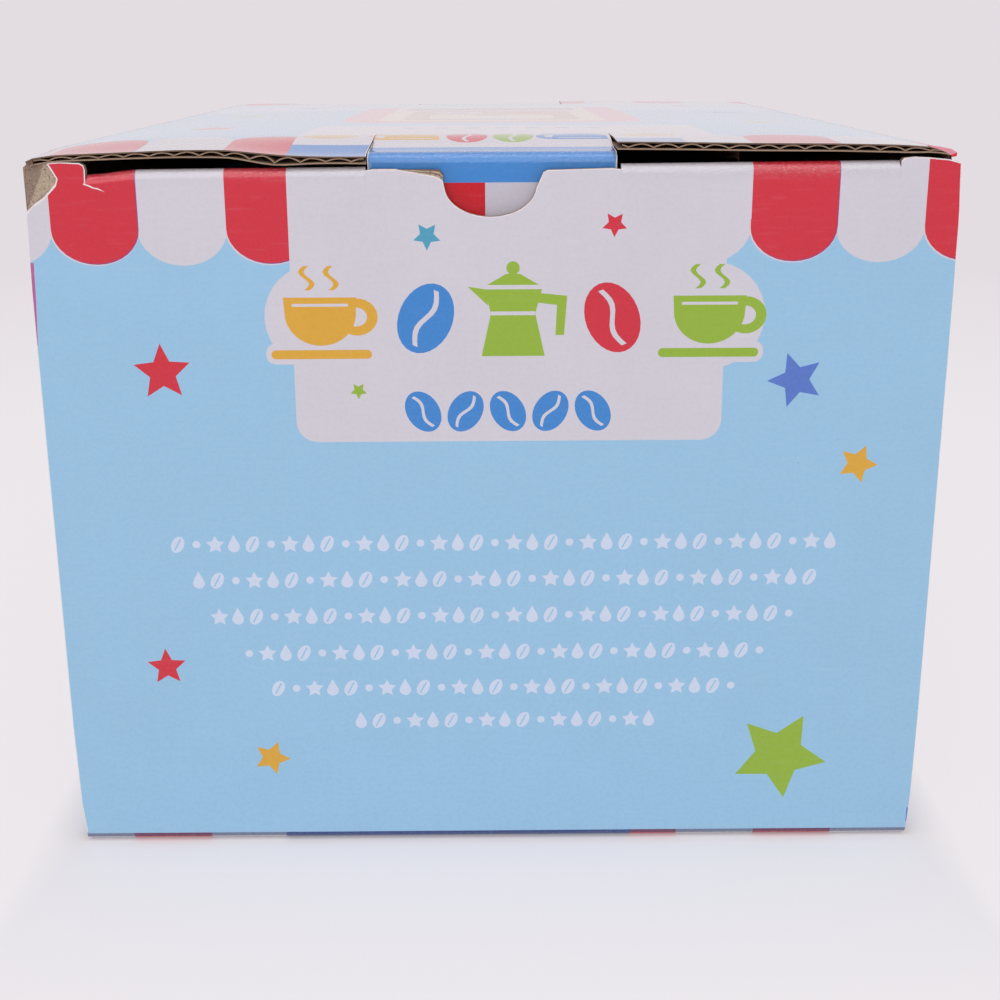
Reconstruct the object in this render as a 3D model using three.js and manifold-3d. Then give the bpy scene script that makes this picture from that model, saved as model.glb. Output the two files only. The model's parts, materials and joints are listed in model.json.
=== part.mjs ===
// A printed corrugated carton lying on its back, with a wooden toy coffee maker packed inside.
// Lengths are in millimetres. X runs right, Y away from the viewer and Z up.
// The toy lies on its back in the carton, so its top points to -Y and its front to +Z.
import * as THREE from "three";
import { mergeVertices } from "three/addons/utils/BufferGeometryUtils.js";
import Module from "manifold-3d";

const wasm = await Module();
wasm.setup();

// Carton
const board = 3;
const gap = 0.3;
const cartonWidth = 240;
const cartonDepth = 340;
const cartonHeight = 198;
const sideOut = cartonWidth / 2;
const sideIn = sideOut - board;
const endOut = cartonDepth / 2;
const endIn = endOut - board;
const lidUnder = cartonHeight - board;
const sideTop = lidUnder - gap;
const glueFlapWidth = 27;
const glueFlapSetback = 25;

// End panels, which hinge on the back panel's edge
const shoulderRoom = 1.3;
const shoulderTop = lidUnder - shoulderRoom;
const shoulderWidth = 16;
const creaseDrop = 4.4;
const tuckPivotZ = shoulderTop - creaseDrop;
const creaseTop = tuckPivotZ - gap;
const notchHalf = 13;
const notchDepth = 9.8;
const notchFloor = creaseTop - notchDepth;
const notchSteps = 14;
const tuckLength = 25;
const tuckCorner = 9;
const tuckDroop = THREE.MathUtils.degToRad(10);
const tabHalf = 31.4;
const tabCornerRadius = 8;
const tabLength = 27.7;
const tabFoot = sideTop - tabLength;
const tabLipSetback = 5;
const slitWidth = 0.6;
const slitDepth = 35;
const lobeInner = tabHalf + 1;

// Dust flaps, which hinge on the side panels
const dustTipX = 16.7;
const dustDrop = 23.7;
const dustTop = shoulderTop - dustDrop;
const dustSlopeLength = 25;
const dustSlopeDrop = 18;

// Inner folded boards that hold the toy
const insertSetback = 30;
const insertLip = endOut - insertSetback;
const floorTop = board + gap + board;
const standZ = floorTop + gap;
const dividerHeight = 120;
const dividerSetback = 3;
const dividerFront = insertLip - dividerSetback;
const crossHeight = 60;
const leafletThickness = 1.2;
const leafletHeight = 145;
const leafletSetback = 37;
const leafletFront = -dividerFront + leafletSetback;
const leafletLength = 140;

// Toy body
const wood = 12;
const baseThick = 18;
const toySideRoom = 5;
const bayWidth = 75.7;
const hatchRoom = 87.1;
const dialRoom = 28.4;
const toyLeft = -sideIn + toySideRoom;
const toyRight = sideIn - bayWidth - board - gap;
const toyWidth = toyRight - toyLeft;
const toyMid = (toyLeft + toyRight) / 2;
const toyBack = standZ;
const toyFront = lidUnder - dialRoom;
const toyDepth = toyFront - toyBack;
const footHeight = 3;
const footRadius = 7;
const footInset = 16;
const footFace = endIn - gap - board - gap;
const toyBottom = footFace - footHeight - gap;
const baseTop = toyBottom - baseThick;
const toyTop = -endIn + hatchRoom;
const boardTop = toyTop + wood + gap;
const headHeight = 85;
const headBottom = toyTop + headHeight;
const columnShare = 0.525;
const columnFront = toyBack + toyDepth * columnShare;
const innerLeft = toyLeft + wood + gap;
const innerRight = toyRight - wood - gap;
const woodBackFace = toyBack + wood;
const frontBack = toyFront - wood;
const edgeRadius = 6;
const baseRadius = 12;
const backRadius = 3;

// Toy head: coffee well, hinged hatch
const wellInset = 69.4;
const wellZ = toyBack + wellInset;
const wellRadius = 20;
const wellWall = 3;
const wellDepth = 38;
const wellRimRadius = 23;
const wellRimThick = 1.5;
const hatchHalf = 28;
const hatchThick = 12;
const hatchRise = 2.2;
const hatchInset = 45.4;
const hatchLength = 48;
const hatchBack = toyBack + hatchInset;
const hatchFront = hatchBack + hatchLength;
const hatchPivotRoom = 5;
const hatchPivotZ = hatchBack - hatchPivotRoom;
const knuckleRadius = 5;
const knuckleHalf = 14;
const hingePinRadius = 2;
const pinClearance = 0.1;
const hingeBlockWidth = 10;
const knobRadius = 8;
const knobHeight = 11;
const knobInset = 12;
const knobZ = hatchFront - knobInset;

// Toy front: strength dial, brew button
const controlDrop = 48.9;
const controlY = toyTop + controlDrop;
const dialShare = 0.26;
const buttonShare = 0.24;
const plateShare = 0.187;
const dialX = toyMid - toyWidth * dialShare;
const buttonX = toyMid + toyWidth * buttonShare;
const plateHalf = toyWidth * plateShare;
const plateThick = 2.5;
const dialRadius = 20;
const dialThick = 14;
const grooveDepth = 4;
const groovePathRadius = 14;
const grooveHalf = 2.2;
const stopRadius = 1.5;
const stopHeight = 5;
const dialTurn = THREE.MathUtils.degToRad(240);
const stopAngle = THREE.MathUtils.degToRad(150);
const axleRadius = 4;
const collarRadius = 7;
const collarThick = 5;
const axleReach = 8;
const pointerHalf = 1.6;
const pointerStart = 4;
const pointerEnd = 17;
const pointerThick = 1.4;
const buttonRadius = 12;
const buttonThick = 8;
const buttonTravel = 3;
const stemRadius = 7;
const flangeRadius = 10;
const flangeThick = 3;
const cushionRadius = 6;
const cushionLength = 10;
const railHalf = 6;

// Toy spout, tray
const spoutSetback = 42.6;
const spoutZ = toyFront - spoutSetback;
const spoutRadius = 15;
const spoutLength = 18;
const nozzleRadius = 7;
const nozzleLength = 9;
const spoutPegRadius = 6;
const spoutPegLength = 10;
const trayShare = 0.32;
const trayHalf = toyWidth * trayShare;
const trayThick = 5;
const traySlotHalf = 2.5;
const traySlotPitch = 12;
const traySlotMargin = 10;
const trayMargin = 4;
const traySlots = [-2, -1, 0, 1, 2];

// Things packed beside the toy
const wallEnd = sideIn - gap - leafletThickness - 2 * gap;
const dividerX = toyRight + board;
const wallStart = dividerX + board + gap;
const bayX = (wallStart + wallEnd) / 2;
const cupRadius = 29;
const cupHeight = 62;
const cupWall = 4;
const cupFloor = 7;
const handleLength = 20;
const handleHalf = 17;
const handleWall = 6;
const handleThickHalf = 5;
const capsuleSpacing = 17;
const capsuleRimRadius = 16;
const capsuleTopRadius = 11;
const capsuleHeight = 26;
const capsuleRim = 2.5;
const milkHalf = 21;
const milkShoulder = 62;
const milkHeight = 84;
const milkRidgeHalf = 4;
const creamRadius = 22;
const creamBodyHeight = 34;
const creamNeckRadius = 16;
const creamLidRadius = 18;
const creamLidThick = 8;
const creamLidSpigot = 5;

// The side bay's things stand in a row with cross walls between them and equal gaps around them.
const insertBack = endIn - gap - board - gap;
const rowLengths = [2 * cupRadius + handleLength, 2 * capsuleRimRadius, 2 * milkHalf, 2 * creamRadius];
const rowFilled = rowLengths.reduce((sum, length) => sum + length, 0) + (rowLengths.length - 1) * board;
const rowGap = (insertBack + dividerFront - rowFilled) / (2 * rowLengths.length);
const rowStarts = [];
rowLengths.reduce((at, length) => {
  rowStarts.push(at + rowGap);
  return at + rowGap + length + rowGap + board;
}, -dividerFront);
const cupY = rowStarts[0] + cupRadius;
const capsuleY = rowStarts[1] + capsuleRimRadius;
const milkY = rowStarts[2] + milkHalf;
const creamY = rowStarts[3] + creamRadius;
const crossWallYs = rowStarts.slice(1).map((start) => start - rowGap - board);

const fine = 40;
const coarse = 24;

const root = new THREE.Group();
root.name = "toy_coffee_maker_carton";

// Colours by kind of material
const paint = {
  print: [0x98c2de, 0.6],
  lidprint: [0xd8d4de, 0.6],
  tabprint: [0x4589ce, 0.6],
  kraft: [0xa68a6c, 0.9],
  beech: [0xd9b98a, 0.55],
  red: [0xcf3a4c, 0.45],
  grey: [0x8f8f94, 0.5],
  white: [0xf2efe9, 0.5],
  blue: [0x4f97c9, 0.45],
  yellow: [0xe3ac43, 0.45],
  green: [0x93b046, 0.45],
  rubber: [0x2c2c2e, 0.85],
  steel: [0xb8babd, 0.35],
  paper: [0xf4f3ee, 0.8],
};

function addMesh(name, geometry, kind) {
  const [color, roughness] = paint[kind];
  const metalness = kind === "steel" ? 1 : 0;
  const material = new THREE.MeshStandardMaterial({ color, roughness, metalness });
  const mesh = new THREE.Mesh(geometry, material);
  mesh.name = name;
  root.add(mesh);
}

// Outline helpers. A corner is [u, v] or [u, v, radius].
function rounded(corners, steps = 5) {
  const out = [];
  corners.forEach((corner, i) => {
    const [u, v, radius] = corner;
    if (!radius) {
      out.push([u, v]);
      return;
    }
    const p = new THREE.Vector2(u, v);
    const before = corners[(i + corners.length - 1) % corners.length];
    const after = corners[(i + 1) % corners.length];
    const a = new THREE.Vector2(before[0], before[1]).sub(p).normalize();
    const b = new THREE.Vector2(after[0], after[1]).sub(p).normalize();
    const half = Math.acos(THREE.MathUtils.clamp(a.dot(b), -1, 1)) / 2;
    const centre = a.clone().add(b).normalize().multiplyScalar(radius / Math.sin(half)).add(p);
    const start = a.clone().multiplyScalar(radius / Math.tan(half)).add(p).sub(centre);
    const end = b.clone().multiplyScalar(radius / Math.tan(half)).add(p).sub(centre);
    const turn = Math.atan2(start.cross(end), start.dot(end));
    for (let k = 0; k <= steps; k += 1) {
      const q = start.clone().rotateAround(new THREE.Vector2(), (turn * k) / steps).add(centre);
      out.push([q.x, q.y]);
    }
  });
  return out;
}

function rectangle(u0, u1, v0, v1, radius = 0) {
  return rounded([
    [u0, v0, radius],
    [u1, v0, radius],
    [u1, v1, radius],
    [u0, v1, radius],
  ]);
}

function circle(u, v, radius, count = fine) {
  return Array.from({ length: count }, (_, k) => {
    const angle = (2 * Math.PI * k) / count;
    return [u + radius * Math.cos(angle), v + radius * Math.sin(angle)];
  });
}

function ringSector(u, v, inner, outer, from, to, count = fine) {
  const arc = (radius, a, b) =>
    Array.from({ length: count + 1 }, (_, k) => {
      const angle = a + ((b - a) * k) / count;
      return [u + radius * Math.cos(angle), v + radius * Math.sin(angle)];
    });
  return [...arc(outer, from, to), ...arc(inner, to, from)];
}

// Prisms along each axis. Points are (y, z) along X, (x, z) along Y and (x, y) along Z.
function prism(points, length, holes, swap) {
  const vectors = (list) => list.map(([u, v]) => (swap ? new THREE.Vector2(v, u) : new THREE.Vector2(u, v)));
  const outline = vectors(points);
  if (THREE.ShapeUtils.isClockWise(outline)) {
    outline.reverse();
  }
  const shape = new THREE.Shape(outline);
  holes.forEach((hole) => shape.holes.push(new THREE.Path(vectors(hole))));
  return new THREE.ExtrudeGeometry(shape, { depth: length, bevelEnabled: false, curveSegments: 1 });
}

function alongX(points, x0, x1, holes = []) {
  const turn = new THREE.Matrix4().makeBasis(
    new THREE.Vector3(0, 1, 0),
    new THREE.Vector3(0, 0, 1),
    new THREE.Vector3(1, 0, 0),
  );
  return prism(points, x1 - x0, holes, false).applyMatrix4(turn).translate(x0, 0, 0);
}

function alongY(points, y0, y1, holes = []) {
  const turn = new THREE.Matrix4().makeBasis(
    new THREE.Vector3(0, 0, 1),
    new THREE.Vector3(1, 0, 0),
    new THREE.Vector3(0, 1, 0),
  );
  return prism(points, y1 - y0, holes, true).applyMatrix4(turn).translate(0, y0, 0);
}

function alongZ(points, z0, z1, holes = []) {
  return prism(points, z1 - z0, holes, false).translate(0, 0, z0);
}

function block(x0, x1, y0, y1, z0, z1) {
  return alongZ(rectangle(x0, x1, y0, y1), z0, z1);
}

// Turned solids. Points are (radius, height) and the profile starts and ends on the axis.
function turned(points, segments = fine) {
  return new THREE.LatheGeometry(points.map(([r, h]) => new THREE.Vector2(r, h)), segments);
}

// A turned solid whose height points to +Z, standing at (x, y, z).
function turnedUp(points, x, y, z, segments) {
  return turned(points, segments).rotateX(Math.PI / 2).translate(x, y, z);
}

// A turned solid whose height points to -Y, the toy's own up.
function turnedToyUp(points, x, y, z, segments) {
  return turned(points, segments).rotateX(Math.PI).translate(x, y, z);
}

// Solid unions and cuts
function solidOf(geometry) {
  const plain = geometry.clone();
  plain.deleteAttribute("normal");
  plain.deleteAttribute("uv");
  const merged = mergeVertices(plain);
  return new wasm.Manifold(
    new wasm.Mesh({
      numProp: 3,
      vertProperties: new Float32Array(merged.attributes.position.array),
      triVerts: new Uint32Array(merged.index.array),
    }),
  );
}

function geometryOf(solid) {
  const mesh = solid.getMesh();
  const geometry = new THREE.BufferGeometry();
  geometry.setAttribute("position", new THREE.BufferAttribute(new Float32Array(mesh.vertProperties), 3));
  geometry.setIndex(new THREE.BufferAttribute(new Uint32Array(mesh.triVerts), 1));
  geometry.computeVertexNormals();
  return geometry;
}

function join(a, b) {
  return geometryOf(solidOf(a).add(solidOf(b)));
}

function cut(a, b) {
  return geometryOf(solidOf(a).subtract(solidOf(b)));
}

// Carton tube: back panel underneath, face panel on top, a side panel on each side
addMesh("back_panel", block(-sideOut, sideOut, -endIn + gap, endIn - gap, 0, board), "print");
addMesh("left_side_panel", block(-sideOut, -sideIn, -endIn + gap, endIn - gap, board + gap, sideTop), "print");
addMesh("right_side_panel", block(sideIn, sideOut, -endIn + gap, endIn - gap, board + gap, sideTop), "print");
addMesh(
  "glue_flap",
  block(
    -sideIn + gap,
    -sideIn + gap + board,
    -endIn + glueFlapSetback,
    endIn - glueFlapSetback,
    sideTop - glueFlapWidth,
    sideTop,
  ),
  "kraft",
);

// The face panel has a tongue between two slits at each end, where the lock tab folds down.
const slitOuter = tabHalf + slitWidth;
const tongueEnd = endOut - tabLipSetback;
const facePoints = [];
[-1, 1].forEach((end) => {
  const run = [
    [-sideOut, end * endOut],
    [-slitOuter, end * endOut],
    [-slitOuter, end * (endOut - slitDepth)],
    [-tabHalf, end * (endOut - slitDepth)],
    [-tabHalf, end * tongueEnd],
  ];
  const mirrored = run.map(([x, y]) => [-x, y]).reverse();
  const full = [...run, ...mirrored];
  facePoints.push(...(end < 0 ? full : full.reverse()));
});
addMesh("face_panel", alongZ(facePoints, lidUnder, cartonHeight), "lidprint");

// The closing parts at each end. The rear end is the front one turned half a turn about Z.
function endPanelOutline() {
  const shoulderIn = sideOut - shoulderWidth;
  const notch = Array.from({ length: notchSteps + 1 }, (_, k) => {
    const angle = (Math.PI * k) / notchSteps;
    return [notchHalf * Math.cos(angle), creaseTop - (creaseTop - notchFloor) * Math.sin(angle)];
  });
  return [
    [-sideOut, 0],
    [sideOut, 0],
    [sideOut, shoulderTop],
    [shoulderIn, shoulderTop],
    [shoulderIn, creaseTop],
    ...notch,
    [-shoulderIn, creaseTop],
    [-shoulderIn, shoulderTop],
    [-sideOut, shoulderTop],
  ];
}

function tuckLobe(side) {
  const outer = sideOut - shoulderWidth - gap;
  const points = rounded([
    [side * lobeInner, gap],
    [side * outer, gap],
    [side * outer, tuckLength, tuckCorner],
    [side * lobeInner, tuckLength, tuckCorner],
  ]);
  return alongZ(points, 0, board).rotateX(-tuckDroop).translate(0, -endIn, tuckPivotZ);
}

function lockTab() {
  const points = rounded([
    [-tabHalf, tabFoot, tabCornerRadius],
    [tabHalf, tabFoot, tabCornerRadius],
    [tabHalf, sideTop],
    [-tabHalf, sideTop],
  ]);
  return alongY(points, -endIn + gap, -endIn + gap + board);
}

function dustFlap(side) {
  const hinge = sideIn - gap;
  const tip = dustTipX;
  const points = [
    [side * tip, board + gap],
    [side * hinge, board + gap],
    [side * hinge, dustTop],
    [side * (tip + dustSlopeLength), dustTop],
    [side * tip, dustTop - dustSlopeDrop],
  ];
  return alongY(points, -endIn + gap, -endIn + gap + board);
}

function addEnd(prefix, halfTurns) {
  const turn = (geometry) => geometry.rotateZ(Math.PI * halfTurns);
  const sideNames = halfTurns === 0 ? ["left", "right"] : ["right", "left"];
  addMesh(`${prefix}_end_panel`, turn(alongY(endPanelOutline(), -endOut, -endIn)), "print");
  [-1, 1].forEach((side, k) => {
    addMesh(`${prefix}_tuck_flap_${sideNames[k]}`, turn(tuckLobe(side)), "print");
    addMesh(`${prefix}_dust_flap_${sideNames[k]}`, turn(dustFlap(side)), "print");
  });
  addMesh(`${prefix}_lock_tab`, turn(lockTab()), "tabprint");
}

addEnd("front", 0);
addEnd("rear", 1);

// Inner boards
addMesh(
  "insert_floor",
  block(-sideIn + gap, sideIn - gap, -insertLip, insertBack, board + gap, floorTop),
  "kraft",
);
addMesh(
  "insert_divider",
  block(dividerX, dividerX + board, -dividerFront, insertBack, standZ, standZ + dividerHeight),
  "kraft",
);
crossWallYs.forEach((y, k) => {
  addMesh(
    `insert_cross_wall_${k + 1}`,
    block(wallStart, wallEnd, y, y + board, standZ, standZ + crossHeight),
    "kraft",
  );
});
const stopWindowHalf = hatchHalf + gap + hingeBlockWidth;
const stopWindowFoot = hatchPivotZ - knuckleRadius - wood;
const stopTop = sideTop - glueFlapWidth - gap;
addMesh(
  "insert_toy_stop",
  alongY(
    [
      [-sideIn + gap, standZ],
      [dividerX - gap, standZ],
      [dividerX - gap, stopTop],
      [toyMid + stopWindowHalf, stopTop],
      [toyMid + stopWindowHalf, stopWindowFoot],
      [toyMid - stopWindowHalf, stopWindowFoot],
      [toyMid - stopWindowHalf, stopTop],
      [-sideIn + gap, stopTop],
    ],
    toyTop - gap - board,
    toyTop - gap,
  ),
  "kraft",
);
addMesh(
  "leaflet",
  block(
    wallEnd + gap,
    wallEnd + gap + leafletThickness,
    leafletFront,
    leafletFront + leafletLength,
    standZ,
    standZ + leafletHeight,
  ),
  "paper",
);

// Toy case
addMesh(
  "toy_base",
  alongY(
    rounded([
      [toyLeft, toyBack, backRadius],
      [toyRight, toyBack, backRadius],
      [toyRight, toyFront, baseRadius],
      [toyLeft, toyFront, baseRadius],
    ]),
    baseTop,
    toyBottom,
  ),
  "beech",
);
[-1, 1].forEach((side) => {
  [toyBack + footInset, toyFront - footInset].forEach((z, k) => {
    const x = side < 0 ? toyLeft + footInset : toyRight - footInset;
    const name = `toy_foot_${side < 0 ? "left" : "right"}_${k === 0 ? "back" : "front"}`;
    addMesh(name, alongY(circle(x, z, footRadius, coarse), toyBottom + gap, footFace), "rubber");
  });
});
addMesh(
  "toy_back_board",
  block(toyLeft, toyRight, boardTop, baseTop - gap, toyBack, woodBackFace),
  "white",
);
const sidePoints = rounded([
  [boardTop, woodBackFace + gap],
  [boardTop, frontBack - gap],
  [headBottom, frontBack - gap],
  [headBottom, columnFront, edgeRadius],
  [baseTop - gap, columnFront],
  [baseTop - gap, woodBackFace + gap],
]);
addMesh("toy_left_side", alongX(sidePoints, toyLeft, toyLeft + wood), "red");
addMesh("toy_right_side", alongX(sidePoints, toyRight - wood, toyRight), "red");
addMesh(
  "toy_front_board",
  alongZ(rectangle(toyLeft, toyRight, boardTop, headBottom), frontBack, toyFront, [
    circle(dialX, controlY, axleRadius + gap),
    circle(buttonX, controlY, stemRadius + gap),
  ]),
  "white",
);
addMesh(
  "toy_head_floor",
  alongY(
    rectangle(innerLeft, innerRight, woodBackFace + gap, frontBack - gap),
    headBottom - wood,
    headBottom,
    [circle(toyMid, spoutZ, spoutPegRadius + gap)],
  ),
  "white",
);
addMesh(
  "toy_column_front",
  block(innerLeft, innerRight, headBottom + gap, baseTop - gap, columnFront - wood, columnFront),
  "white",
);
addMesh(
  "toy_top_board",
  alongY(
    rounded([
      [toyLeft, toyBack, backRadius],
      [toyRight, toyBack, backRadius],
      [toyRight, toyFront, edgeRadius],
      [toyLeft, toyFront, edgeRadius],
    ]),
    toyTop,
    toyTop + wood,
    [circle(toyMid, wellZ, wellRadius + wellWall + gap)],
  ),
  "grey",
);

// Coffee well under the hatch: a cup set in the top board, its rim on the board
const wellOuter = wellRadius + wellWall;
const wellRimOuter = wellRimRadius + wellWall;
addMesh(
  "coffee_well",
  turnedToyUp(
    [
      [0, -wellDepth - wellWall],
      [wellOuter, -wellDepth - wellWall],
      [wellOuter, gap],
      [wellRimOuter, gap],
      [wellRimOuter, gap + wellRimThick],
      [wellRadius, gap + wellRimThick],
      [wellRadius, -wellDepth],
      [0, -wellDepth],
    ],
    toyMid,
    toyTop,
    wellZ,
  ),
  "grey",
);

// Hatch with its knuckle, hinge blocks and pin
const hatchUnder = toyTop - hatchRise;
const hatchOver = hatchUnder - hatchThick;
const pivotY = hatchUnder - hatchThick / 2;
const knuckleFlank = knuckleHalf + gap;
const hatchSlab = alongY(
  rounded([
    [toyMid - hatchHalf, hatchBack],
    [toyMid + hatchHalf, hatchBack],
    [toyMid + hatchHalf, hatchFront, baseRadius],
    [toyMid - hatchHalf, hatchFront, baseRadius],
  ]),
  hatchOver,
  hatchUnder,
);
const knuckleOutline = [
  ...ringSector(pivotY, hatchPivotZ, 0, knuckleRadius, Math.PI, 2 * Math.PI, coarse).slice(0, coarse + 1),
  [pivotY + knuckleRadius, hatchBack + gap],
  [pivotY - knuckleRadius, hatchBack + gap],
];
const knuckle = alongX(knuckleOutline, toyMid - knuckleHalf, toyMid + knuckleHalf, [
  circle(pivotY, hatchPivotZ, hingePinRadius + pinClearance, coarse),
]);
addMesh("hatch", join(hatchSlab, knuckle), "beech");
[-1, 1].forEach((side) => {
  const near = toyMid + side * knuckleFlank;
  const far = toyMid + side * (knuckleFlank + hingeBlockWidth);
  const foot = toyTop - gap;
  const points = [
    ...ringSector(pivotY, hatchPivotZ, 0, knuckleRadius, Math.PI / 2, (3 * Math.PI) / 2, coarse).slice(0, coarse + 1),
    [foot, hatchPivotZ - knuckleRadius],
    [foot, hatchPivotZ + knuckleRadius - gap],
    [pivotY, hatchPivotZ + knuckleRadius - gap],
  ];
  const trimmed = points.map(([y, z]) => [y, Math.min(z, hatchPivotZ + knuckleRadius - gap)]);
  const blockGeometry = alongX(trimmed, Math.min(near, far), Math.max(near, far), [
    circle(pivotY, hatchPivotZ, hingePinRadius + pinClearance, coarse),
  ]);
  addMesh(`hatch_hinge_block_${side < 0 ? "left" : "right"}`, blockGeometry, "beech");
});
const pinHalf = knuckleFlank + hingeBlockWidth;
addMesh(
  "hatch_hinge_pin",
  alongX(circle(pivotY, hatchPivotZ, hingePinRadius, coarse), toyMid - pinHalf, toyMid + pinHalf),
  "steel",
);
addMesh(
  "hatch_knob",
  turnedToyUp(
    [
      [0, 0],
      [knobRadius * 0.6, 0],
      [knobRadius * 0.55, knobHeight * 0.3],
      [knobRadius * 0.95, knobHeight * 0.5],
      [knobRadius, knobHeight * 0.72],
      [knobRadius * 0.8, knobHeight * 0.93],
      [0, knobHeight],
    ],
    toyMid,
    hatchOver - gap,
    knobZ,
    coarse,
  ),
  "red",
);

// Strength dial with its scale plate, stop peg and axle
const plateUnder = toyFront + gap;
const plateTop = plateUnder + plateThick;
const dialUnder = plateTop + gap;
const dialTop = dialUnder + dialThick;
const stopX = dialX + groovePathRadius * Math.cos(stopAngle);
const stopY = controlY + groovePathRadius * Math.sin(stopAngle);
addMesh(
  "dial_plate",
  alongZ(
    rectangle(dialX - plateHalf, dialX + plateHalf, controlY - plateHalf, controlY + plateHalf, baseRadius),
    plateUnder,
    plateTop,
    [circle(dialX, controlY, axleRadius + gap), circle(stopX, stopY, stopRadius + gap, coarse)],
  ),
  "yellow",
);
addMesh(
  "dial_stop_peg",
  alongZ(circle(stopX, stopY, stopRadius, coarse), plateUnder, plateUnder + stopHeight),
  "steel",
);
const grooveMargin = (stopRadius + gap) / groovePathRadius;
const groove = alongZ(
  ringSector(
    dialX,
    controlY,
    groovePathRadius - grooveHalf,
    groovePathRadius + grooveHalf,
    stopAngle - dialTurn - grooveMargin,
    stopAngle + grooveMargin,
  ),
  dialUnder - gap,
  dialUnder + grooveDepth,
);
const axleBore = alongZ(circle(dialX, controlY, axleRadius + gap), dialUnder - gap, dialUnder + axleReach + gap);
const dialBody = turnedUp(
  [
    [0, 0],
    [dialRadius, 0],
    [dialRadius, dialThick * 0.8],
    [dialRadius * 0.93, dialThick],
    [0, dialThick],
  ],
  dialX,
  controlY,
  dialUnder,
);
addMesh("strength_dial", cut(cut(dialBody, groove), axleBore), "blue");
const axleCollarUnder = frontBack - gap - collarThick;
const collarTop = frontBack - gap - axleCollarUnder;
const axleTop = dialUnder + axleReach - axleCollarUnder;
addMesh(
  "dial_axle",
  turnedUp(
    [
      [0, 0],
      [collarRadius, 0],
      [collarRadius, collarTop],
      [axleRadius, collarTop],
      [axleRadius, axleTop],
      [0, axleTop],
    ],
    dialX,
    controlY,
    axleCollarUnder,
    coarse,
  ),
  "beech",
);
addMesh(
  "dial_pointer",
  alongZ(
    rectangle(
      dialX - pointerHalf,
      dialX + pointerHalf,
      controlY - pointerEnd,
      controlY - pointerStart,
      pointerHalf * 0.9,
    ),
    dialTop + gap,
    dialTop + gap + pointerThick,
  ),
  "white",
);

// Brew button with its flange, rubber cushion and the rail that backs the cushion
const flangeUnder = frontBack - gap - flangeThick;
const flangeTop = frontBack - gap;
const capUnder = toyFront + gap + buttonTravel;
const capTop = capUnder + buttonThick;
addMesh(
  "brew_button",
  turnedUp(
    [
      [0, 0],
      [flangeRadius, 0],
      [flangeRadius, flangeTop - flangeUnder],
      [stemRadius, flangeTop - flangeUnder],
      [stemRadius, capUnder - flangeUnder],
      [buttonRadius, capUnder - flangeUnder],
      [buttonRadius, capTop - flangeUnder - buttonThick * 0.25],
      [buttonRadius * 0.85, capTop - flangeUnder],
      [0, capTop - flangeUnder],
    ],
    buttonX,
    controlY,
    flangeUnder,
    coarse,
  ),
  "red",
);
const cushionUnder = flangeUnder - gap - cushionLength;
addMesh(
  "button_cushion",
  alongZ(circle(buttonX, controlY, cushionRadius, coarse), cushionUnder, flangeUnder - gap),
  "rubber",
);
addMesh(
  "button_rail",
  block(
    innerLeft,
    innerRight,
    controlY - railHalf,
    controlY + railHalf,
    cushionUnder - gap - wood,
    cushionUnder - gap,
  ),
  "beech",
);

// Spout, held by a peg in the head floor, and the drip tray on the base
const spoutTop = headBottom + gap;
addMesh(
  "spout",
  turned([
    [0, -spoutPegLength],
    [spoutPegRadius, -spoutPegLength],
    [spoutPegRadius, gap],
    [spoutRadius, gap],
    [spoutRadius, spoutLength * 0.55],
    [nozzleRadius, spoutLength],
    [nozzleRadius, spoutLength + nozzleLength],
    [0, spoutLength + nozzleLength],
  ], coarse).translate(toyMid, spoutTop - gap, spoutZ),
  "grey",
);
const trayBack = columnFront + trayMargin;
const trayFront = toyFront - trayMargin;
const trayMidZ = (trayBack + trayFront) / 2;
const traySlotReach = (trayFront - trayBack) / 2 - traySlotMargin;
addMesh(
  "drip_tray",
  alongY(
    rectangle(toyMid - trayHalf, toyMid + trayHalf, trayBack, trayFront, edgeRadius),
    baseTop - gap - trayThick,
    baseTop - gap,
    traySlots.map((k) => {
      const x = toyMid + k * traySlotPitch;
      return rectangle(
        x - traySlotHalf,
        x + traySlotHalf,
        trayMidZ - traySlotReach,
        trayMidZ + traySlotReach,
        traySlotHalf * 0.9,
      );
    }),
  ),
  "grey",
);

// Cup, capsules, milk carton and cream pot in the side bay
const cupBody = turnedUp(
  [
    [0, 0],
    [cupRadius * 0.82, 0],
    [cupRadius, cupHeight * 0.35],
    [cupRadius, cupHeight],
    [cupRadius - cupWall, cupHeight],
    [cupRadius - cupWall, cupHeight * 0.35],
    [cupRadius * 0.82 - cupWall, cupFloor],
    [0, cupFloor],
  ],
  bayX,
  cupY,
  standZ,
);
const handleMidZ = standZ + cupHeight * 0.55;
const handleRoot = cupY + cupRadius - cupWall / 2;
const handleEnd = cupY + cupRadius + handleLength;
const handleSolid = alongX(
  rounded([
    [handleRoot, handleMidZ - handleHalf],
    [handleEnd, handleMidZ - handleHalf, handleHalf * 0.7],
    [handleEnd, handleMidZ + handleHalf, handleHalf * 0.7],
    [handleRoot, handleMidZ + handleHalf],
    [handleRoot, handleMidZ + handleHalf - handleWall],
    [handleEnd - handleWall, handleMidZ + handleHalf - handleWall, handleWall],
    [handleEnd - handleWall, handleMidZ - handleHalf + handleWall, handleWall],
    [handleRoot, handleMidZ - handleHalf + handleWall],
  ]),
  bayX - handleThickHalf,
  bayX + handleThickHalf,
);
addMesh("cup", join(cupBody, handleSolid), "green");
[-1, 1].forEach((side, k) => {
  addMesh(
    `coffee_capsule_${k + 1}`,
    turnedUp(
      [
        [0, 0],
        [capsuleRimRadius, 0],
        [capsuleRimRadius, capsuleRim],
        [capsuleRimRadius - capsuleRim, capsuleRim],
        [capsuleTopRadius, capsuleHeight],
        [0, capsuleHeight],
      ],
      bayX + side * capsuleSpacing,
      capsuleY,
      standZ,
      coarse,
    ),
    k === 0 ? "yellow" : "red",
  );
});
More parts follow.
